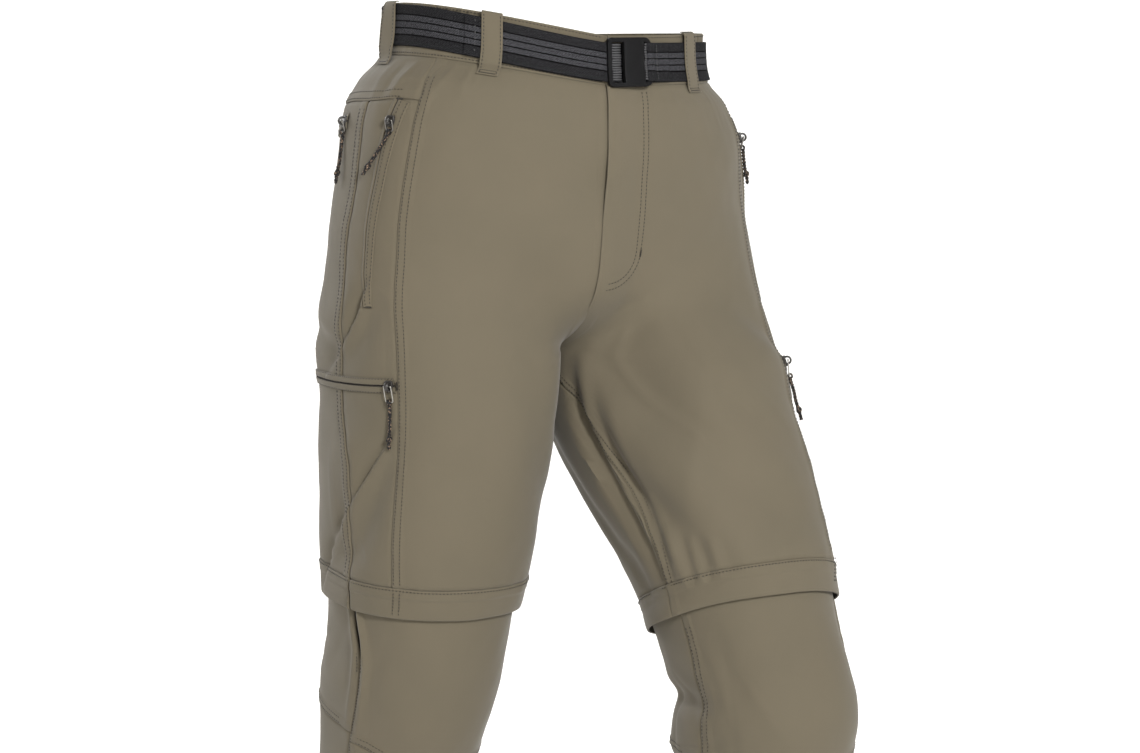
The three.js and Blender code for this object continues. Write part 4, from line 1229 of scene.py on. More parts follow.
def loop_gape(a, down, gape):
    """How far a loop's rear edge stands off the belt between its sewn ends."""
    share = 0.5 + 0.5 * a / (LOOP_WIDTH / 2) * math.copysign(1, gape)
    along = np.clip((down - LOOP_GAPE_TOP) / LOOP_GAPE_LENGTH, 0, 1)
    return abs(gape) * share * np.sin(math.pi * along) ** LOOP_GAPE_POWER


# distances of a loop's lines from its edge, and how the doubled cloth lies there: height, place and
# reach of the fold and of the stitched groove, and depth and reach of the rounded edge
LOOP_LINES = (LOOP_WIDTH / 3, 3.2, 1.9, 1, 0.3, 0)
LOOP_FOLD = (0.25, 0.9, 0.7)
LOOP_GROOVE = (0.15, 2, 0.5)
LOOP_ROUND = (0.2, 0.3)


def loop_swell(edge):
    """Height of a loop's face at distances from its edge."""
    high, place, reach = LOOP_FOLD
    fold = high * soft_profile(edge - place, reach)
    deep, place, reach = LOOP_GROOVE
    groove = deep * soft_profile(edge - place, reach)
    deep, reach = LOOP_ROUND
    return fold - deep * np.exp(-edge / reach) - groove


def add_loop(node, degrees, over, gape):
    line = loop_line(over)
    direction = unit(np.gradient(line, axis=0))
    inward = np.stack([direction[:, 1], -direction[:, 0]], axis=1) * LOOP_CLOTH
    half = LOOP_WIDTH / 2
    right = half - np.array(LOOP_LINES)
    across = np.concatenate([-right[::-1], right])
    swell = loop_swell(half - np.abs(across))
    a, s = np.meshgrid(across, np.arange(len(line)))
    lifted = loop_gape(a, line[s, 0], gape) * ramp(0.3, 2, line[s, 1])
    outer = np.stack([a, line[s, 0], line[s, 1] + lifted + swell[None, :]], axis=-1)
    inner = np.stack([a, line[s, 0] + inward[s, 0], line[s, 1] + lifted + inward[s, 1]], axis=-1)
    uv = np.stack([a, -line[s, 0]], axis=-1)
    points = wrap(np.stack([outer, inner]), degrees, 0)
    mesh = make_mesh(node, points, shell_faces(*a.shape), np.stack([uv, uv]))
    piece = add_object(f"cloth_{node}", mesh, "cloth")
    soften_bends(piece)
    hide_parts(node)


# zips, pulls and cords

# a pocket zip from one place to another: its bow to the side, the slider's share of the way,
# how high the pull lies over the cloth, the wire ring's length, the cord's sway in turns and
# its length, and the ring's finish
Zip = namedtuple("Zip", "name side turn drop to_turn to_drop bow slider lie ring sway cord wire")
ZIPS = (
    Zip("hand_right", RIGHT, 0.386, 82, 0.432, 252, 0.01, 0.105, 3.8, 9, -0.055, 36, "dark_wire"),
    Zip("hand_left", LEFT, 0.386, 82, 0.432, 252, 0.01, 0.105, 3.8, 9, 0.01, 36, "dark_wire"),
    Zip("back_right", RIGHT, 0.54, 101, 0.82, 116, 0, 0.04, 2.6, 9, 0, 42, "dark_wire"),
    Zip("cargo_right", RIGHT, 0.388, 316, 0.58, 329, 0, 0.04, 2.6, 14, 0, 42, "bare_wire"),
    Zip("cargo_left", LEFT, 0.388, 316, 0.58, 329, 0, 0.04, 2.6, 14, 0, 42, "bare_wire"),
)


def zip_place(zip_, share):
    turn = mix(zip_.turn, zip_.to_turn, share) + zip_.bow * np.sin(math.pi * share)
    return turn, mix(zip_.drop, zip_.to_drop, share)


def is_hand(zip_):
    """The slanted hand pockets have a wide front welt; the level zips have two narrow lips."""
    return zip_.name.startswith("hand")


SLIDER_EYE = 6.3
WIRE_RADIUS = 0.6
RING_HALF = 3.5
KNOT_BEFORE = 9
CORD_POINTS = 6
CORD_LOOP = 4
KNOT_LIE = 1.2


def plain_point(side, turn, drop, height):
    """A place on the cloth without the creases too fine for the solids, as the hardware sits."""
    turn, drop, height = np.broadcast_arrays(np.asarray(turn, float), drop, height)
    normal, _ = outward(side, turn, drop)
    return smooth_point(side, turn, drop) + normal * (height + fold_height(side.folds, turn, drop))[..., None]


def slider_frame(zip_):
    """Level, down and outward directions at a zip's slider, and its place on the cloth."""
    turn, drop = zip_place(zip_, zip_.slider)
    out = outward(zip_.side, np.array(turn), np.array(drop))[0]
    across = unit(np.cross((0, 0, 1), out))
    down = np.cross(across, out)
    if down[2] > 0:
        down = -down
    across = np.cross(down, out)
    return across, down, out, plain_point(zip_.side, turn, drop, 0.0)


def at_slider(zip_, points):
    across, down, out, origin = slider_frame(zip_)
    return np.asarray(points, float) @ np.array([across, down, out]) + origin


def smooth_line(points, steps, closed=False):
    """Catmull-Rom curve through points, evenly spaced along its length."""
    points = np.asarray(points, float)
    if closed:
        points = np.concatenate([points[-1:], points, points[:2]])
    else:
        points = np.concatenate([2 * points[:1] - points[1:2], points, 2 * points[-1:] - points[-2:-1]])
    u = np.linspace(0, 1, 24, endpoint=False)[:, None]
    pieces = []
    for a, b, c, d in zip(points, points[1:], points[2:], points[3:]):
        square = 2 * a - 5 * b + 4 * c - d
        cubic = 3 * b - a - 3 * c + d
        pieces.append(0.5 * (2 * b + (c - a) * u + square * u**2 + cubic * u**3))
    line = np.concatenate(pieces + [points[-2:-1]])
    run = run_along(line)
    even = np.linspace(0, run[-1], steps + 1)
    if closed:
        even = even[:-1]
    return np.stack([np.interp(even, run, line[:, k]) for k in range(3)], axis=1)


def frames_along(line, closed=False):
    """Two directions square to a line at each of its points, with no twist."""
    if closed:
        ahead = np.roll(line, -1, axis=0) - np.roll(line, 1, axis=0)
    else:
        ahead = np.gradient(line, axis=0)
    ahead = unit(ahead)
    side = np.cross(ahead[0], (0.3, 0.9, 0.2))
    first, second = [], []
    for direction in ahead:
        side = unit(side - direction * np.dot(side, direction))
        first.append(side)
        second.append(np.cross(direction, side))
    return np.array(first), np.array(second)


def tube(line, radius, sides=8, closed=False):
    """Points and faces of a round tube along a line, its ends closed."""
    first, second = frames_along(line, closed)
    radius = np.broadcast_to(radius, len(line))
    angle = np.linspace(0, 2 * math.pi, sides, endpoint=False)
    ring = np.cos(angle)[None, :, None] * first[:, None] + np.sin(angle)[None, :, None] * second[:, None]
    points = line[:, None] + ring * radius[:, None, None]
    ids = np.arange(len(line) * sides).reshape(len(line), sides)
    faces = []
    last = len(line) if closed else len(line) - 1
    for k in range(last):
        a, b = ids[k], ids[(k + 1) % len(line)]
        faces += [[a[i], a[(i + 1) % sides], b[(i + 1) % sides], b[i]] for i in range(sides)]
    if not closed:
        faces += [list(ids[0][::-1]), list(ids[-1])]
    return points.reshape(-1, 3), [[int(i) for i in face] for face in faces]


def joined(parts):
    """Several points-and-faces pairs as one."""
    points, faces, count = [], [], 0
    for some_points, some_faces in parts:
        points.append(np.asarray(some_points).reshape(-1, 3))
        faces += [[i + count for i in face] for face in some_faces]
        count += len(points[-1])
    return np.concatenate(points), faces


def cord_path(zip_):
    """The route of a pull cord down the cloth."""
    turn, drop = zip_place(zip_, zip_.slider)
    points = [at_slider(zip_, [(0, zip_.ring + WIRE_RADIUS + KNOT_LIE, zip_.lie)])[0]]
    for k in range(1, CORD_POINTS + 1):
        share = k / CORD_POINTS
        down = zip_.ring + CORD_LOOP + (zip_.cord - CORD_LOOP) * share
        height = zip_.lie + KNOT_LIE * ramp(0.5, 0.8, share)
        points.append(plain_point(zip_.side, turn - zip_.sway * share, drop + down, height))
    return smooth_line(points, 48)


STRAND_RADIUS = 1
STRAND_OFFSET = 0.8
STRAND_STEP = 0.45
STRAND_SIDES = 8
TWIST_LENGTH = 6
KNOT_RADIUS = 1.15
KNOT_SIZE = 0.62
KNOT_POINTS = 60


def add_cord(zip_):
    """Two-ply twisted cord with an overhand knot, looped on its wire ring."""
    path = cord_path(zip_)
    length = float(run_along(path)[-1])
    fine = smooth_line(path, int(length / STRAND_STEP))
    first, second = frames_along(fine)
    run = np.linspace(0, length, len(fine))
    knot_at = length - KNOT_BEFORE
    parts = []
    for ply in (0, math.pi):
        angle = (2 * math.pi * run / TWIST_LENGTH + ply)[:, None]
        offset = np.full(len(fine), STRAND_OFFSET)
        offset[0] = 0.3
        strand = fine + offset[:, None] * (np.cos(angle) * first + np.sin(angle) * second)
        parts.append(tube(strand, STRAND_RADIUS, STRAND_SIDES))
    points, faces = joined(parts)
    along = np.tile(np.repeat(run, STRAND_SIDES), 2)
    uv = np.stack([along, np.repeat([0, 10], len(fine) * STRAND_SIDES)], axis=-1)
    mesh = make_mesh(f"cord_{zip_.name}", points, faces, uv, 0)
    cord = add_object(f"twisted_cord_{zip_.name}", mesh, "cord")
    body = f"pull_{zip_.name}"
    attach(cord, body)
    centre_index = int(np.argmin(np.abs(run - knot_at)))
    centre, a, b = fine[centre_index], first[centre_index], second[centre_index]
    ahead = np.cross(a, b)
    t = np.linspace(0, 2 * math.pi, KNOT_POINTS, endpoint=False)[:, None]
    trefoil = centre + KNOT_SIZE * (
        a * (np.sin(t) + 2 * np.sin(2 * t))
        + b * (np.cos(t) - 2 * np.cos(2 * t))
        - ahead * 2.4 * np.sin(3 * t)
    )
    points, faces = tube(trefoil, KNOT_RADIUS, STRAND_SIDES, closed=True)
    along = np.repeat(np.linspace(0, 24, KNOT_POINTS), STRAND_SIDES)
    uv = np.stack([along, np.full(len(along), 5)], axis=-1)
    knot_mesh = make_mesh(f"knot_{zip_.name}", points, faces, uv, 0)
    knot = add_object(f"knot_{zip_.name}", knot_mesh, "cord")
    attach(knot, body)
    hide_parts(f"cord_{zip_.name}")


RING_LOW = 2.9
HITCH_RADIUS = 0.9
HITCH_POINTS = 28


def add_ring(zip_):
    """Wire ring through the slider's bridge, and the cord's loop round it."""
    low = RING_LOW
    points = [
        (-RING_HALF + 0.6, 0, SLIDER_EYE), (RING_HALF - 0.6, 0, SLIDER_EYE),
        (RING_HALF, 0.9, SLIDER_EYE - 0.3), (RING_HALF, zip_.ring - 1.5, low),
        (RING_HALF - 1.4, zip_.ring, low), (-RING_HALF + 1.4, zip_.ring, low),
        (-RING_HALF, zip_.ring - 1.5, low), (-RING_HALF, 0.9, SLIDER_EYE - 0.3),
    ]
    line = smooth_line(at_slider(zip_, points), 72, closed=True)
    mesh = make_mesh(f"ring_{zip_.name}", *tube(line, WIRE_RADIUS, 10, closed=True), sharp=0)
    piece = add_object(f"wire_ring_{zip_.name}", mesh, zip_.wire)
    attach(piece, f"pull_{zip_.name}")
    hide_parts(f"ring_{zip_.name}")
    turns = []
    t = np.linspace(0, 2 * math.pi, HITCH_POINTS, endpoint=False)
    for x in (-0.95, 0.95):
        y = zip_.ring + 0.55 + 2.1 * np.cos(t)
        z = low + 0.5 + 1.75 * np.sin(t)
        loop = np.stack([np.full(HITCH_POINTS, x), y, z], axis=1)
        turns.append(tube(at_slider(zip_, loop), HITCH_RADIUS, STRAND_SIDES, closed=True))
    points, faces = joined(turns)
    uv = np.zeros((len(points), 2))
    uv[:, 0] = np.tile(np.repeat(np.linspace(0, 11, HITCH_POINTS), STRAND_SIDES), 2)
    mesh = make_mesh(f"hitch_{zip_.name}", points, faces, uv, 0)
    hitch = add_object(f"cord_loop_{zip_.name}", mesh, "cord")
    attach(hitch, f"pull_{zip_.name}")


# outline of a slider's right half, and its bridge from the side: along the zip and out
SLIDER_HALF = ((2.4, -5), (4, -4), (4.1, 0), (2.9, 3.6), (1.9, 5))
BRIDGE = ((-3.4, 4.2), (-3.1, 6.6), (-1.8, 8.2), (0, 8.7), (1.8, 8.2), (3.1, 6.6), (3.4, 4.2))
BRIDGE_SIDES = 10


def add_slider(zip_):
    """Die-cast slider: waisted body, two flanges and a bridge for the ring."""
    left, *others = [(-x, y) for x, y in SLIDER_HALF]
    body = np.array([left, *SLIDER_HALF, *reversed(others)])
    parts = []
    for low, high, grow in ((1.3, 2, 0.9), (2.4, 4.5, 1)):
        count = len(body)
        points = [(x * grow, y * grow, z) for z in (low, high) for x, y in body]
        faces = [list(range(count))[::-1], list(range(count, 2 * count))]
        faces += [[i, (i + 1) % count, count + (i + 1) % count, count + i] for i in range(count)]
        parts.append((at_slider(zip_, points), faces))
    line = smooth_line(at_slider(zip_, [(0, y, z) for y, z in BRIDGE]), 20)
    points, faces = tube(line, 0.95, BRIDGE_SIDES)
    across = slider_frame(zip_)[0]
    middle = np.repeat(line, BRIDGE_SIDES, axis=0)
    sideways = (points - middle) @ across
    points = points + sideways[:, None] * across * 1.1
    parts.append((points, faces))
    mesh = make_mesh(f"slider_{zip_.name}", *joined(parts), sharp=40)
    piece = add_object(f"zip_slider_{zip_.name}", mesh, "cast_slider")
    add_bevel(piece, "cast_edges", 0.25, 2, 40)
    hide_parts(f"slider_{zip_.name}")


def strip(side, turns, drops, profile, taper=1):
    """Places and heights of a strip along a line on the cloth, with a cross profile of offset and height.

    The profile's offsets go towards the outseam where the line runs down the cloth.
    """
    middle_scale = mm_per_turn(side, turns, drops)
    run_x = np.gradient(turns) * middle_scale
    run_y = np.gradient(drops)
    norm = np.hypot(run_x, run_y)
    run_x, run_y = run_x / norm, run_y / norm
    offset, height = np.array(profile, float).T
    offset = offset[None, :] * np.broadcast_to(taper, turns.shape)[:, None]
    turn = turns[:, None] + offset * (run_y / middle_scale)[:, None]
    drop = drops[:, None] - offset * run_x[:, None]
    return turn, drop, np.broadcast_to(height[None, :], turn.shape)


def add_strip(name, side, turns, drops, profile, finish, thick=0.8, taper=1):
    turn, drop, height = strip(side, turns, drops, profile, taper)
    outer = cloth_point(side, turn, drop, height)
    inner = cloth_point(side, turn, drop, height - thick)
    uv = np.stack([turn * MM_PER_TURN, -drop], axis=-1)
    mesh = make_mesh(name, np.stack([outer, inner]), shell_faces(*turn.shape), np.stack([uv, uv]), 60)
    return add_object(name, mesh, finish)


# how narrow the hand pocket's welt gets at its lower end, and cross profiles: offset and height
WELT_TAPER = 0.6
FRONT_LIP = ((-9.5, 0.1), (-9.2, 0.9), (-8.4, 1.3), (-5, 1.5), (-1, 1.7), (1.4, 1.9), (2.2, 1.6), (2.4, 0.6))
BACK_LIP = ((4, 0.6), (4.2, 1.2), (4.8, 1.4), (5.6, 1.2), (6.6, 0.9), (7.4, 0.8), (8, 0.5), (8.2, 0.1))
UPPER_LIP = ((-6.4, -0.2), (-6.3, 1), (-5.4, 1.5), (-3.5, 1.7), (-1.8, 2), (-1.1, 1.8), (-0.75, 0.8))
LOWER_LIP = tuple((-offset, height) for offset, height in reversed(UPPER_LIP))
TAPE = ((-1.6, 0.5), (-0.8, 0.55), (0, 0.5), (2, 0.55), (4.6, 0.5))


def zip_line(zip_, steps=70):
    return zip_place(zip_, np.linspace(0, 1, steps))


def welt_taper(zip_, steps):
    return np.linspace(1, WELT_TAPER, steps) if is_hand(zip_) else 1


def add_zip(zip_):
    """Zip tape sunk between two cloth lips."""
    turns, drops = zip_line(zip_)
    lips = (FRONT_LIP, BACK_LIP) if is_hand(zip_) else (UPPER_LIP, LOWER_LIP)
    tape = add_strip(f"zip_tape_{zip_.name}", zip_.side, turns, drops, TAPE, "zip_tape", 0.4)
    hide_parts(f"zip_{zip_.name}")
    taper = welt_taper(zip_, len(turns))
    for label, profile in zip(("front", "back"), lips):
        name = f"welt_{label}_{zip_.name}"
        add_strip(name, zip_.side, turns, drops, profile, "cloth", 0.6, taper)


ZIP_OFF_OUTER = -2.4
ZIP_OFF_INNER = -3.4


def add_zip_off(side):
    """Tape of the zip that takes the lower leg off, behind the hem band."""
    turns = np.linspace(0, 1, 160, endpoint=False)
    drops = np.array([HEM_BAND_TOP + 3.4, 505, 509, 512, LOWER_LEG_TOP - 0.8])
    turn, drop = np.meshgrid(turns, drops)
    drop = drop - side.hem_tilt * np.cos(2 * math.pi * turn)
    outer = cloth_point(side, turn, drop, ZIP_OFF_OUTER)
    inner = cloth_point(side, turn, drop, ZIP_OFF_INNER)
    uv = np.stack([turn * MM_PER_TURN, -drop], axis=-1)
    faces = shell_faces(*turn.shape, ring=True)
    mesh = make_mesh(f"zip_off_{side.label}", np.stack([outer, inner]), faces, np.stack([uv, uv]))
    piece = add_object(f"zip_off_tape_{side.label}", mesh, "zip_tape")
    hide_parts(f"zip_off_{side.label}")
    smooth_point(side, turn, drop)


def add_leg_zip(side):
    """Tape behind the parted outseam of the lower leg."""
    drops = np.linspace(LOWER_LEG_TOP + 5, ZIP_OPENING_END + 9, 30)
    turns = column(OUTSEAM, "turn", drops)
    depth = -LOWER_LEG_INSET - 2.6
    profile = [(offset, depth) for offset in (-5.5, -2, 0, 2, 5.5)]
    tape = add_strip(f"leg_zip_tape_{side.label}", side, turns, drops, profile, "zip_tape", 0.7)
    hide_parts(f"leg_zip_{side.label}")


# zip coils and stitching, as joined meshes

TOOTH_PITCH = 1.5
TOOTH_SIZE = (1.05, 0.42, 0.5)
TOOTH_OFFSET = 0.75


def add_coil(name, side, turns, drops, height):
    """Two meshed rows of coil teeth along a line."""
    dense = np.linspace(0, 1, 400)
    even = np.linspace(0, 1, len(turns))
    t, d = np.interp(dense, even, turns), np.interp(dense, even, drops)
    run = run_along(cloth_point(side, t, d, height))
    count = int(run[-1] / TOOTH_PITCH)
    starts = (np.arange(count) + 0.5) * TOOTH_PITCH
    t, d = np.interp(starts, run, t), np.interp(starts, run, d)
    centre = cloth_point(side, t, d, height)
    normal, _ = outward(side, t, d)
    ahead = unit(np.gradient(centre, axis=0))
    across = np.cross(ahead, normal)
    parts = []
    for sign in (-1, 1):
        middle = centre + across * TOOTH_OFFSET * sign + ahead * (0.25 * sign * TOOTH_PITCH)
        parts.append(ovals(middle, across, ahead, normal, TOOTH_SIZE))
    return add_object(name, make_mesh(name, *joined(parts), sharp=0), "zip_tape")


# a bobbin's rings: place along it and radius, as shares of its half sizes
BOBBIN = ((-1, 0), (-0.75, 0.75), (0, 1), (0.75, 0.75), (1, 0))
BOBBIN_SIDES = 6


def ovals(centres, a, b, c, size):
    """Many small six-sided bobbins at centres, with half sizes along three directions each."""
    shape = []
    for x, r in BOBBIN:
        angles = [0] if r == 0 else [k * math.pi / 3 for k in range(BOBBIN_SIDES)]
        shape += [(x, r * math.cos(k), r * math.sin(k)) for k in angles]
    count = len(shape)
    rings = np.arange(1, count - 1).reshape(-1, BOBBIN_SIDES).tolist()
    faces = []
    for i in range(BOBBIN_SIDES):
        j = (i + 1) % BOBBIN_SIDES
        faces.append([0, rings[0][j], rings[0][i]])
        faces += [[low[i], low[j], high[j], high[i]] for low, high in zip(rings, rings[1:])]
        faces.append([rings[-1][i], rings[-1][j], count - 1])
    x, y, z = (np.array(shape) * size).T[:, None, :, None]
    points = centres[:, None] + x * a[:, None] + y * b[:, None] + z * c[:, None]
    every = [[i + k * count for i in face] for k in range(len(centres)) for face in faces]
    return points.reshape(-1, 3), every


STITCH_PITCH = 3.3
STITCH_HALF = 1
THREAD_RADIUS = 0.48
ROW_STEP = 6


def stitches(points, normals, pitch=STITCH_PITCH, half=STITCH_HALF, radius=THREAD_RADIUS):
    """Stitch after stitch along a line of points on cloth."""
    run = run_along(points)
    middle = (np.arange(int(run[-1] / pitch)) + 0.5) * pitch

    def sample(values, at):
        return np.stack([np.interp(at, run, values[:, k]) for k in range(3)], axis=1)

    centre = sample(points, middle)
    ahead = unit(sample(points, np.minimum(middle + half, run[-1])) - sample(points, middle - half))
    normal = sample(normals, middle)
    normal = unit(normal - ahead * np.sum(normal * ahead, axis=1, keepdims=True))
    return ovals(centre, ahead, np.cross(normal, ahead), normal, (half, radius, radius * 0.8))


def cloth_row(side, turns, drops, height):
    """A stitch row on the cloth."""
    turns, drops = np.broadcast_arrays(np.asarray(turns, float), np.asarray(drops, float))
    points = cloth_point(side, turns, drops, height + 0.12)
    return stitches(points, outward(side, turns, drops)[0])


def beside_seam(side, edge, start, end, offsets, height):
    """Rows down a seam at distances from it."""
    drops = np.linspace(start, end, max(8, int((end - start) / ROW_STEP)))
    turns = edge(drops)
    scale = mm_per_turn(side, turns, drops)
    return [cloth_row(side, turns + offset / scale, drops, height) for offset in offsets]


def along_level(side, line, start, end, offsets, height):
    """Rows round a level at distances below it."""
    turns = np.linspace(start, end, max(12, int((end - start) * MM_PER_TURN / ROW_STEP)))
    return [cloth_row(side, turns, line(turns) + offset, height) for offset in offsets]


# distances of the rows from a seam, after it and before it
TWIN_NEEDLE = (1.7, 7.4)
TWIN_BEFORE = (-1.7, -7.4)
OPENING_ROW = 2.4
ANKLE_HEM = 14


def shorts_rows(side):
    lap = LAP_HEIGHT
    hem = hem_line(side, HEM_BAND_TOP)
    rows = beside_seam(side, seam(SIDE_FRONT_SEAM), 60, HEM_BAND_TOP - 1, TWIN_BEFORE, lap)
    rows += beside_seam(side, seam(OUTSEAM), 90, HEM_BAND_TOP - 1, TWIN_NEEDLE, lap)
    rows += beside_seam(side, inseam(side, 0), CROTCH_DROP + 6, HEM_BAND_TOP + 6, TWIN_NEEDLE, lap)
    rows += along_level(side, yoke_line, 0.392, 0.995, TWIN_BEFORE, lap)
    rows += along_level(side, level(BAND_HEIGHT), 0.02, 0.98, (-2,), lap)
    rows += along_level(side, level(0), 0.01, 0.99, (2.2,), 0.4)
    rows += along_level(side, hem, 0.02, 0.99, (1.8,), 0.4 + lap)
    rows += beside_seam(side, seam(SIDE_FRONT_SEAM), HEM_BAND_TOP + 3, HEM_BAND_BOTTOM - 3, TWIN_BEFORE, 1.9)
    return rows


def lower_leg_rows(side):
    depth = LAP_HEIGHT - LOWER_LEG_INSET
    rows = beside_seam(side, inseam(side, 0), 530, ANKLE_DROP - 5, TWIN_NEEDLE, depth)
    rows += beside_seam(side, seam(OUTSEAM), ZIP_OPENING_END + 8, ANKLE_DROP - 5, TWIN_BEFORE[:1], depth)
    rows += along_level(side, front_knee_line, 0.03, 0.45, TWIN_BEFORE, depth)
    rows += along_level(side, level(BACK_KNEE_SEAM), 0.49, 0.985, TWIN_BEFORE, depth)
    rows += along_level(side, level(ANKLE_DROP), 0.0, 1.0, (-ANKLE_HEM,), -LOWER_LEG_INSET)
    for direction in (-1, 1):
        edge = open_seam(side, direction)
        offset = direction * OPENING_ROW
        rows += beside_seam(side, edge, 528, ZIP_OPENING_END + 6, (offset,), -LOWER_LEG_INSET + 1.3)
    return rows


def zip_rows(zip_):
    turns, drops = zip_line(zip_, 60)
    offsets, height = ((-8.2, -1.2), 1.5) if is_hand(zip_) else ((-5.7, 5.7), 1.15)
    rows = []
    for offset in offsets:
        turn, drop, _ = strip(zip_.side, turns, drops, [(offset, height)], welt_taper(zip_, len(turns)))
        rows.append(cloth_row(zip_.side, turn[:, 0], drop[:, 0], height))
    return rows


FLY_ROWS = (32, 37.5)
FLY_CURVE = 30


def fly_rows():
    """Double J-shaped rows on the left front that hold the fly, down to the fly's end."""
    rows = []
    lift = fly_lift(LEFT)
    curve_start = FLY_BOTTOM - FLY_CURVE
    down = np.linspace(BAND_HEIGHT + 6, curve_start, 40)
    curve = np.linspace(0, math.pi / 2, 24)
    for offset in FLY_ROWS:
        drops = np.concatenate([down, curve_start + (FLY_CURVE + offset - FLY_ROWS[0]) * np.sin(curve)])
        across = np.concatenate([np.full(len(down), float(offset)), offset * np.cos(curve)])
        turns = across / mm_per_turn(LEFT, np.full(len(drops), 0.03), drops)
        rows.append(cloth_row(LEFT, turns, drops, lift(turns, drops)))
    return rows


TACK_WIDTH = 7
TACK_HALF = 0.8
TACK_STITCHES = 14
TACK_THREAD = (1.05, 0.34, 0.34)


def bar_tack(side, turn, drop, height, across=True):
    """Dense zigzag that strengthens a corner."""
    scale = float(mm_per_turn(side, np.array(turn), np.array(drop)))
    k = np.arange(TACK_STITCHES + 1)
    along = (k / TACK_STITCHES - 0.5) * TACK_WIDTH
    side_step = np.where(k % 2 == 0, TACK_HALF, -TACK_HALF)
    x, y = (along, side_step) if across else (side_step, along)
    turns, drops = turn + x / scale, drop + y
    points = cloth_point(side, turns, drops, height + 0.15)
    normals = outward(side, turns, drops)[0]
    middle = (points[1:] + points[:-1]) / 2
    ahead = unit(points[1:] - points[:-1])
    normal = normals[1:]
    return ovals(middle, ahead, np.cross(normal, ahead), normal, TACK_THREAD)


def waist_row(degrees, drop, height, pitch=STITCH_PITCH):
    """A stitch row on the belt or a loop."""
    degrees, drop, height = np.broadcast_arrays(np.asarray(degrees, float), drop, height)
    points = waist_point(degrees, drop, height)
    normal = points - waist_point(degrees, drop, height - 1)
    return stitches(points, normal, pitch)


LOOP_STITCH_EDGE = 2
LOOP_FOOT_ROWS = (50.4, 52.6)


def loop_rows():
    """Rows down both edges of each belt loop, and two across its foot."""
    rows = []
    reach = LOOP_WIDTH / 2 - LOOP_STITCH_EDGE
    for _, degrees, over, gape in LOOPS:
        line = loop_line(over)
        downs = np.linspace(1, 53, 40)
        heights = np.interp(downs, line[4:, 0], line[4:, 1]) + 0.1
        for offset in (-reach, reach):
            at = float(along_waist(degrees, np.array(offset)))
            rows.append(waist_row(at, downs, heights + loop_gape(offset, downs, gape)))
        span = along_waist(degrees, np.linspace(-reach - 0.5, reach + 0.5, 8))
        rows += [waist_row(span, down, 2.3, 1.9) for down in LOOP_FOOT_ROWS]
    return rows


def belt_rows():
    """Light thread across the folded end beside the buckle and at the free end's tip."""
    downs = np.linspace(1.5, BELT_WIDTH - 1.5, 20)
    rows = []
    for start, along, height, pitch in (
        (BUCKLE_CENTRE, BUCKLE_WIDTH / 2 + 8.5, TAIL_HEIGHT + 2.9, 2.4),
        (TAIL_START, 9.0, TAIL_HEIGHT + BELT_THICK - 0.1, 5.2),
    ):
        at = float(along_waist(start, np.array(along)))
        rows.append(waist_row(at, float(belt_top(at)) + downs, height, pitch))
    return rows


def add_thread(name, rows, finish="thread"):
    add_object(name, make_mesh(name, *joined(rows), sharp=0), finish)


# bar tacks at the pocket zips' ends: place, and whether it lies across
POCKET_TACKS = ((0.384, 316, False), (0.578, 329, False), (0.427, 252, True), (0.39, 81, True))
POCKET_TACK_HEIGHT = 1.3


def add_stitching():
    for side in SIDES:
        rows = shorts_rows(side)
        for turn, drop, across in POCKET_TACKS:
            rows.append(bar_tack(side, turn, drop, POCKET_TACK_HEIGHT, across))
        for zip_ in ZIPS:
            if zip_.side is side:
                rows += zip_rows(zip_)
        add_thread(f"stitching_shorts_{side.label}", rows)
        add_thread(f"stitching_lower_leg_{side.label}", lower_leg_rows(side))
    rows = fly_rows()
    rows.append(bar_tack(LEFT, 0.052, 208, 0.4, False))
    rows.append(bar_tack(LEFT, 0.012, FLY_BOTTOM + 1, 1.2, True))
    drops = np.linspace(50, 296, 41)
    edge = fly_edge(LEFT)(drops)
    turns = edge + TWIN_NEEDLE[0] / mm_per_turn(LEFT, edge, drops)
    rows.append(cloth_row(LEFT, turns, drops, fly_lift(LEFT)(0.0 * drops, drops) + 0.1))
    rows += beside_seam(RIGHT, inseam(RIGHT, 1), 96, 296, TWIN_BEFORE, LAP_HEIGHT)
    add_thread("stitching_fly_and_seat", rows)
    add_thread("stitching_loops", loop_rows())
    add_thread("stitching_belt", belt_rows(), "light_thread")


def add_coils():
    """Coils of the zip-off zips, the lower legs' side zips and the pocket zips."""
    for side in SIDES:
        turns = np.linspace(0, 1, 200)
        add_coil(f"zip_off_coil_{side.label}", side, turns, hem_line(side, 510.5)(turns), -1.9)
        drops = np.linspace(LOWER_LEG_TOP + 6, ZIP_OPENING_END + 8, 40)
        turns = column(OUTSEAM, "turn", drops)
        add_coil(f"leg_zip_coil_{side.label}", side, turns, drops, -LOWER_LEG_INSET - 2.1)
    for zip_ in ZIPS:
        turns, drops = zip_line(zip_, 60)
        add_coil(f"coil_{zip_.name}", zip_.side, turns, drops, 0.65)


# materials

def linear(colour):
    """sRGB hex to the linear colour that shaders use."""
    values = [int(colour[i:i + 2], 16) / 255 for i in (1, 3, 5)]
    return [v / 12.92 if v <= 0.04045 else ((v + 0.055) / 1.055) ** 2.4 for v in values] + [1]


def add_node(tree, kind, links=None, **settings):
    """One node with its settings, and links to its named or numbered inputs."""
    node = tree.nodes.new(kind)
    for name, value in settings.items():
        setattr(node, name, value)
    for socket, value in (links or {}).items():
        if isinstance(value, bpy.types.NodeSocket):
            tree.links.new(value, node.inputs[socket])
        else:
            node.inputs[socket].default_value = value
    return node


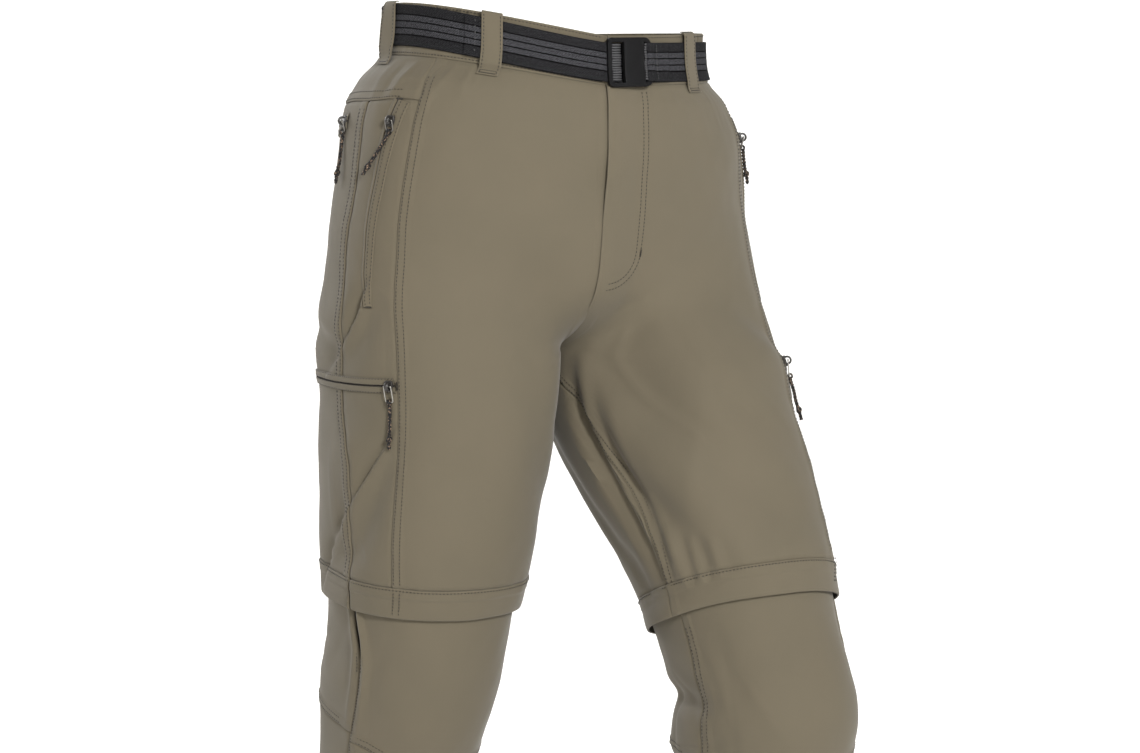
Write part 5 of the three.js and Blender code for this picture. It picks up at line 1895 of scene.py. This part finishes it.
def new_material(name, roughness, metallic=0.0, ior=1.5, shine=0.5):
    """A material with its finish's typical values; a metal keeps the default IOR."""
    material = bpy.data.materials.new(name)
    material.use_nodes = True
    tree = material.node_tree
    shader = tree.nodes["Principled BSDF"]
    shader.inputs["Roughness"].default_value = roughness
    shader.inputs["Metallic"].default_value = metallic
    if not metallic:
        shader.inputs["IOR"].default_value = ior
        shader.inputs["Specular IOR Level"].default_value = shine
    return material, tree, shader


THREAD_SPACING = 0.9 * METRES
SLUB_SIZE = 1.111 * METRES
RUMPLE_SIZE = 11.11 * METRES
FADED_PATCH = 71.43 * METRES


def cloth_material():
    """Nylon and cotton trousering, woven, brushed and dyed khaki.

    Real threads are about 0.3 mm apart; they are drawn 0.9 mm apart so that they show.
    The brushing takes the shine down and leaves a faint lighter nap where the cloth turns away.
    """
    material, tree, shader = new_material("brushed_nylon_cloth", 0.85, shine=0.25)
    shader.inputs["Sheen Weight"].default_value = 0.08
    shader.inputs["Sheen Roughness"].default_value = 0.5
    place = add_node(tree, "ShaderNodeUVMap", uv_map="cloth_metres").outputs["UV"]
    weave = []
    for direction in ("X", "Y"):
        wave = add_node(
            tree, "ShaderNodeTexWave",
            {
                "Vector": place, "Scale": 1 / THREAD_SPACING / math.pi,
                "Distortion": 1.2, "Detail": 2, "Detail Scale": 3,
            },
            bands_direction=direction,
        )
        weave.append(wave.outputs["Fac"])
    woven = add_node(tree, "ShaderNodeMath", {0: weave[0], 1: weave[1]}, operation="MULTIPLY").outputs[0]
    body = add_node(tree, "ShaderNodeTexCoord").outputs["Object"]
    clouds = add_node(
        tree, "ShaderNodeTexNoise",
        {"Vector": body, "Scale": 1 / FADED_PATCH, "Detail": 5, "Roughness": 0.55},
    ).outputs["Fac"]
    slubs = add_node(
        tree, "ShaderNodeTexNoise", {"Vector": place, "Scale": 1 / SLUB_SIZE, "Detail": 2},
    ).outputs["Fac"]
    shade = add_node(tree, "ShaderNodeMath", {0: clouds, 1: 0.5, 2: 0.2}, operation="MULTIPLY_ADD").outputs[0]
    base = add_node(
        tree, "ShaderNodeMix",
        {"Factor": shade, "A": linear("#454033"), "B": linear("#50483a")}, data_type="RGBA",
    ).outputs["Result"]
    flecked = add_node(
        tree, "ShaderNodeMix", {"Factor": 0.1, "A": base, "B": slubs},
        data_type="RGBA", blend_type="MULTIPLY",
    )
    tree.links.new(flecked.outputs["Result"], shader.inputs["Base Color"])
    fine = add_node(tree, "ShaderNodeBump", {"Height": woven, "Strength": 0.16, "Distance": 0.12 * METRES})
    rumple = add_node(
        tree, "ShaderNodeTexNoise", {"Vector": body, "Scale": 1 / RUMPLE_SIZE, "Detail": 3},
    ).outputs["Fac"]
    soft = add_node(
        tree, "ShaderNodeBump",
        {"Height": rumple, "Strength": 0.25, "Distance": 0.4 * METRES, "Normal": fine.outputs[0]},
    )
    tree.links.new(soft.outputs["Normal"], shader.inputs["Normal"])
    return material


RIB_SPACING = 2.2 * METRES
STRIPE_WANDER = 1.1 * METRES
WANDER_RUN = 2.381 * METRES
FILAMENT_SPECK = 1.613 * METRES


def webbing_material():
    """Woven polyester webbing, charcoal with three grey stripes split by black lines.

    Its slanting ribs are bumped as small steps and also painted lighter, a painted highlight on each rib over
    random filament specks; the black threads wander between the stripes.
    """
    material, tree, shader = new_material("polyester_webbing", 0.85, shine=0.03)
    place = add_node(tree, "ShaderNodeUVMap", uv_map="cloth_metres").outputs["UV"]
    across = add_node(tree, "ShaderNodeSeparateXYZ", {0: place}).outputs["Y"]
    ramp_node = add_node(tree, "ShaderNodeValToRGB")
    wander = add_node(
        tree, "ShaderNodeTexNoise", {"Vector": place, "Scale": 1 / WANDER_RUN, "Detail": 2},
    ).outputs["Fac"]
    moved = add_node(
        tree, "ShaderNodeMath", {0: wander, 1: STRIPE_WANDER, 2: across}, operation="MULTIPLY_ADD",
    ).outputs[0]
    share = add_node(
        tree, "ShaderNodeMath", {0: moved, 1: BELT_WIDTH * METRES}, operation="DIVIDE",
    ).outputs[0]
    tree.links.new(share, ramp_node.inputs["Fac"])
    stripes = ramp_node.color_ramp
    stripes.interpolation = "CONSTANT"
    charcoal, grey, black = "#161617", "#262628", "#020202"
    bands = (
        (0, charcoal), (0.24, black), (0.272, grey), (0.4, black), (0.43, grey),
        (0.57, black), (0.6, grey), (0.73, black), (0.762, charcoal),
    )
    stripes.elements[0].color = linear(charcoal)
    stripes.elements[1].position = bands[1][0]
    stripes.elements[1].color = linear(bands[1][1])
    for position, colour in bands[2:]:
        stripes.elements.new(position).color = linear(colour)
    rib = add_node(
        tree, "ShaderNodeTexWave",
        {
            "Vector": place, "Scale": 0.2 * math.pi / RIB_SPACING,
            "Distortion": 5, "Detail": 3, "Detail Scale": 2,
        },
        bands_direction="DIAGONAL",
    ).outputs["Fac"]
    speck = add_node(
        tree, "ShaderNodeTexNoise", {"Vector": place, "Scale": 1 / FILAMENT_SPECK, "Detail": 3},
    ).outputs["Fac"]
    # painted highlight: the rib waves lighten the base colour as if each rib caught the light; the specks are
    # the filaments' own random tone
    painted_rib_highlight = add_node(tree, "ShaderNodeMath", {0: rib, 1: 0.55, 2: 0.5}, operation="MULTIPLY_ADD").outputs[0]
    specks_and_painted_rib_highlight = add_node(tree, "ShaderNodeMath", {0: speck, 1: painted_rib_highlight}, operation="MULTIPLY").outputs[0]
    specks_and_painted_highlight_tone = add_node(
        tree, "ShaderNodeMath", {0: specks_and_painted_rib_highlight, 1: 3.4, 2: -0.15}, operation="MULTIPLY_ADD",
    ).outputs[0]
    tone = add_node(
        tree, "ShaderNodeMix", {"Factor": 1.0, "A": ramp_node.outputs["Color"], "B": specks_and_painted_highlight_tone},
        data_type="RGBA", blend_type="MULTIPLY",
    )
    tree.links.new(tone.outputs["Result"], shader.inputs["Base Color"])
    bump = add_node(tree, "ShaderNodeBump", {"Height": specks_and_painted_rib_highlight, "Strength": 0.8, "Distance": 0.6 * METRES})
    tree.links.new(bump.outputs["Normal"], shader.inputs["Normal"])
    return material


MOULD_GRAIN = 0.3846 * METRES
MOULD_HAZE = 16.67 * METRES


def moulded_nylon_material():
    """Injection-moulded black nylon with a spark-eroded grain, faintly shiny on its edges.

    The real grain is about 0.1 mm wide; it is drawn 0.4 mm wide so that it shows.
    """
    material, tree, shader = new_material("moulded_nylon", 0.5, ior=1.53, shine=0.05)
    body = add_node(tree, "ShaderNodeTexCoord").outputs["Object"]
    grain = add_node(
        tree, "ShaderNodeTexNoise", {"Vector": body, "Scale": 1 / MOULD_GRAIN, "Detail": 2},
    ).outputs["Fac"]
    haze = add_node(
        tree, "ShaderNodeTexNoise", {"Vector": body, "Scale": 1 / MOULD_HAZE, "Detail": 3},
    ).outputs["Fac"]
    black = add_node(
        tree, "ShaderNodeMix",
        {"Factor": haze, "A": linear("#0b0b0b"), "B": linear("#121213")}, data_type="RGBA",
    )
    tree.links.new(black.outputs["Result"], shader.inputs["Base Color"])
    rough = add_node(tree, "ShaderNodeMath", {0: haze, 1: 0.2, 2: 0.33}, operation="MULTIPLY_ADD").outputs[0]
    tree.links.new(rough, shader.inputs["Roughness"])
    bump = add_node(tree, "ShaderNodeBump", {"Height": grain, "Strength": 0.25, "Distance": 0.08 * METRES})
    tree.links.new(bump.outputs["Normal"], shader.inputs["Normal"])
    return material


TAPE_THREAD = 0.6667 * METRES


def zip_tape_material():
    """Woven polyester zip tape and its coil, dark brown, made darker as painted shade so that it sits back in
    the pocket's slit.

    Its threads are about 0.3 mm apart; they are drawn 0.7 mm apart so that they show.
    """
    material, tree, shader = new_material("polyester_zip_tape", 0.7, shine=0.2)
    body = add_node(tree, "ShaderNodeTexCoord").outputs["Object"]
    weave = add_node(
        tree, "ShaderNodeTexNoise", {"Vector": body, "Scale": 1 / TAPE_THREAD, "Detail": 2},
    ).outputs["Fac"]
    # painted shade: tape and coil are near-black brown, their own dark colour plus the shade of the slits
    # they lie in
    brown_and_painted_shade = add_node(
        tree, "ShaderNodeMix",
        {"Factor": weave, "A": linear("#14110e"), "B": linear("#211d19")}, data_type="RGBA",
    )
    tree.links.new(brown_and_painted_shade.outputs["Result"], shader.inputs["Base Color"])
    bump = add_node(tree, "ShaderNodeBump", {"Height": weave, "Strength": 0.4, "Distance": 0.15 * METRES})
    tree.links.new(bump.outputs["Normal"], shader.inputs["Normal"])
    return material


THREAD_TWIST = 0.4545 * METRES


def thread_material(name, dark, light):
    """Core-spun polyester sewing thread: round, slightly glossy, with a fine twist."""
    material, tree, shader = new_material(name, 0.6, shine=0.3)
    body = add_node(tree, "ShaderNodeTexCoord").outputs["Object"]
    twist = add_node(
        tree, "ShaderNodeTexNoise", {"Vector": body, "Scale": 1 / THREAD_TWIST, "Detail": 1},
    ).outputs["Fac"]
    dyed = add_node(
        tree, "ShaderNodeMix", {"Factor": twist, "A": linear(dark), "B": linear(light)}, data_type="RGBA",
    )
    tree.links.new(dyed.outputs["Result"], shader.inputs["Base Color"])
    return material


PLY_SPACING = 1.2 * METRES
CORD_FLECK = 1.538 * METRES


def cord_material():
    """Twisted two-ply polyester cord, black with brown flecks where the filaments cross."""
    material, tree, shader = new_material("twisted_cord", 0.65, shine=0.25)
    body = add_node(tree, "ShaderNodeTexCoord").outputs["Object"]
    place = add_node(tree, "ShaderNodeUVMap", uv_map="cloth_metres").outputs["UV"]
    fleck = add_node(
        tree, "ShaderNodeTexNoise", {"Vector": body, "Scale": 1 / CORD_FLECK, "Detail": 2},
    ).outputs["Fac"]
    share = add_node(
        tree, "ShaderNodeMapRange", {"Value": fleck, "From Min": 0.56, "From Max": 0.66},
    ).outputs[0]
    flecked = add_node(
        tree, "ShaderNodeMix",
        {"Factor": share, "A": linear("#060505"), "B": linear("#6a5847")}, data_type="RGBA",
    )
    tree.links.new(flecked.outputs["Result"], shader.inputs["Base Color"])
    ply = add_node(
        tree, "ShaderNodeTexWave",
        {"Vector": place, "Scale": 1 / PLY_SPACING / (2 * math.pi), "Distortion": 1.5},
    ).outputs["Fac"]
    bump = add_node(tree, "ShaderNodeBump", {"Height": ply, "Strength": 0.5, "Distance": 0.25 * METRES})
    tree.links.new(bump.outputs["Normal"], shader.inputs["Normal"])
    return material


WEAR_SIZE = 2 * METRES


def metal_material(name, dark, light, roughness, metallic):
    """Small zinc or steel part; the finish is worn a little unevenly."""
    material, tree, shader = new_material(name, roughness, metallic)
    body = add_node(tree, "ShaderNodeTexCoord").outputs["Object"]
    wear = add_node(
        tree, "ShaderNodeTexNoise", {"Vector": body, "Scale": 1 / WEAR_SIZE, "Detail": 3},
    ).outputs["Fac"]
    worn = add_node(
        tree, "ShaderNodeMix", {"Factor": wear, "A": linear(dark), "B": linear(light)}, data_type="RGBA",
    )
    tree.links.new(worn.outputs["Result"], shader.inputs["Base Color"])
    rough = add_node(
        tree, "ShaderNodeMath", {0: wear, 1: 0.2, 2: roughness - 0.1}, operation="MULTIPLY_ADD",
    ).outputs[0]
    tree.links.new(rough, shader.inputs["Roughness"])
    return material


def stage_material():
    """Matt pale background paper, which glows a little so that it photographs white."""
    material, _, shader = new_material("pale_paper", 0.9)
    shader.inputs["Base Color"].default_value = linear("#e2e1df")
    shader.inputs["Emission Color"].default_value = linear("#ffffff")
    shader.inputs["Emission Strength"].default_value = PAPER_GLOW
    return material


# studio

FLOOR_LEVEL = -1090
BOWL_RADIUS = 9000
BOWL_CURVE = 3000
BOWL_HEIGHT = 8000
BOWL_SIDES = 96
BOWL_STEPS = 12


def add_bowl():
    """A round sweep of pale paper: flat floor, curved up into a wall all round."""
    profile = [(2000, 0), (4000, 0)]
    for angle in np.linspace(0, math.pi / 2, BOWL_STEPS + 1):
        profile.append((BOWL_RADIUS - BOWL_CURVE * (1 - math.sin(angle)), BOWL_CURVE * (1 - math.cos(angle))))
    profile.append((BOWL_RADIUS, BOWL_HEIGHT))
    form = bmesh.new()
    around = np.linspace(0, 2 * math.pi, BOWL_SIDES, endpoint=False)
    rings = []
    for radius, height in profile:
        places = [(radius * math.cos(a), radius * math.sin(a), FLOOR_LEVEL + height) for a in around]
        rings.append([form.verts.new(Vector(place) * METRES) for place in places])
    centre = form.verts.new((0, 0, FLOOR_LEVEL * METRES))
    for i in range(BOWL_SIDES):
        j = (i + 1) % BOWL_SIDES
        form.faces.new([centre, rings[0][i], rings[0][j]])
        for low, high in zip(rings, rings[1:]):
            form.faces.new([low[i], high[i], high[j], low[j]])
    mesh = bpy.data.meshes.new("bowl")
    form.to_mesh(mesh)
    form.free()
    mesh.polygons.foreach_set("use_smooth", np.ones(len(mesh.polygons), bool))
    mesh.materials.append(stage_material())
    bowl = bpy.data.objects.new("paper_sweep", mesh)
    bpy.context.scene.collection.objects.link(bowl)


# name, place and size in metres, and power in watts
LIGHTS = (
    ("key", (-1.0, -5.3, 1.7), 1.0, 530),
    ("back", (-1.8, 4.6, 1.8), 2.4, 170),
)
LIGHTS_AIM = (0, 0, -0.4)
WORLD_STRENGTH = 0.4
PAPER_GLOW = 0.42


def add_light(name, place, size, power):
    """A round soft box turned to the garment."""
    data = bpy.data.lights.new(name, "AREA")
    data.shape = "DISK"
    data.size = size
    data.energy = power
    light = bpy.data.objects.new(name, data)
    light.location = place
    light.rotation_euler = (Vector(place) - Vector(LIGHTS_AIM)).to_track_quat("Z", "Y").to_euler()
    bpy.context.scene.collection.objects.link(light)


def add_studio():
    add_bowl()
    for light in LIGHTS:
        add_light(*light)
    world = bpy.data.worlds.new("white")
    world.use_nodes = True
    background = world.node_tree.nodes["Background"]
    background.inputs["Color"].default_value = linear("#ffffff")
    background.inputs["Strength"].default_value = WORLD_STRENGTH
    bpy.context.scene.world = world
    bpy.context.scene.view_settings.view_transform = "Standard"


MATERIALS = {
    "cloth": cloth_material(),
    "webbing": webbing_material(),
    "moulded_nylon": moulded_nylon_material(),
    "zip_tape": zip_tape_material(),
    # the khaki stitching thread is drawn near-black: its own colour plus painted shade of the stitch holes
    # and seam edges beside it
    "thread": thread_material("khaki_thread_painted_shade", "#15110b", "#201b13"),
    "light_thread": thread_material("grey_thread", "#222221", "#2e2e2d"),
    # grey ribs: lighter than the charcoal webbing, its grey stripes plus a painted highlight on the bend over
    # the bars
    "painted_highlight_ribs": thread_material("grey_ribs_painted_highlight", "#242425", "#3a3a3b"),
    "cord": cord_material(),
    "cast_slider": metal_material("enamelled_zinc", "#1c1a18", "#2b2825", 0.4, 0.3),
    "dark_wire": metal_material("blackened_wire", "#54524e", "#74716c", 0.4, 0.9),
    "bare_wire": metal_material("nickelled_wire", "#7d7b76", "#97948e", 0.35, 0.9),
}

add_camera()
for zip_ in ZIPS:
    add_cord(zip_)
for side in SIDES:
    add_waistband(side)
    add_shorts(side)
    add_hem_band(side)
    add_zip_off(side)
    add_lower_leg(side)
    add_leg_zip(side)
add_belt()
add_buckle()
add_belt_fold()
add_slot_ribs()
for loop in LOOPS:
    add_loop(*loop)
for zip_ in ZIPS:
    add_zip(zip_)
    add_slider(zip_)
    add_ring(zip_)
add_coils()
add_stitching()
add_studio()
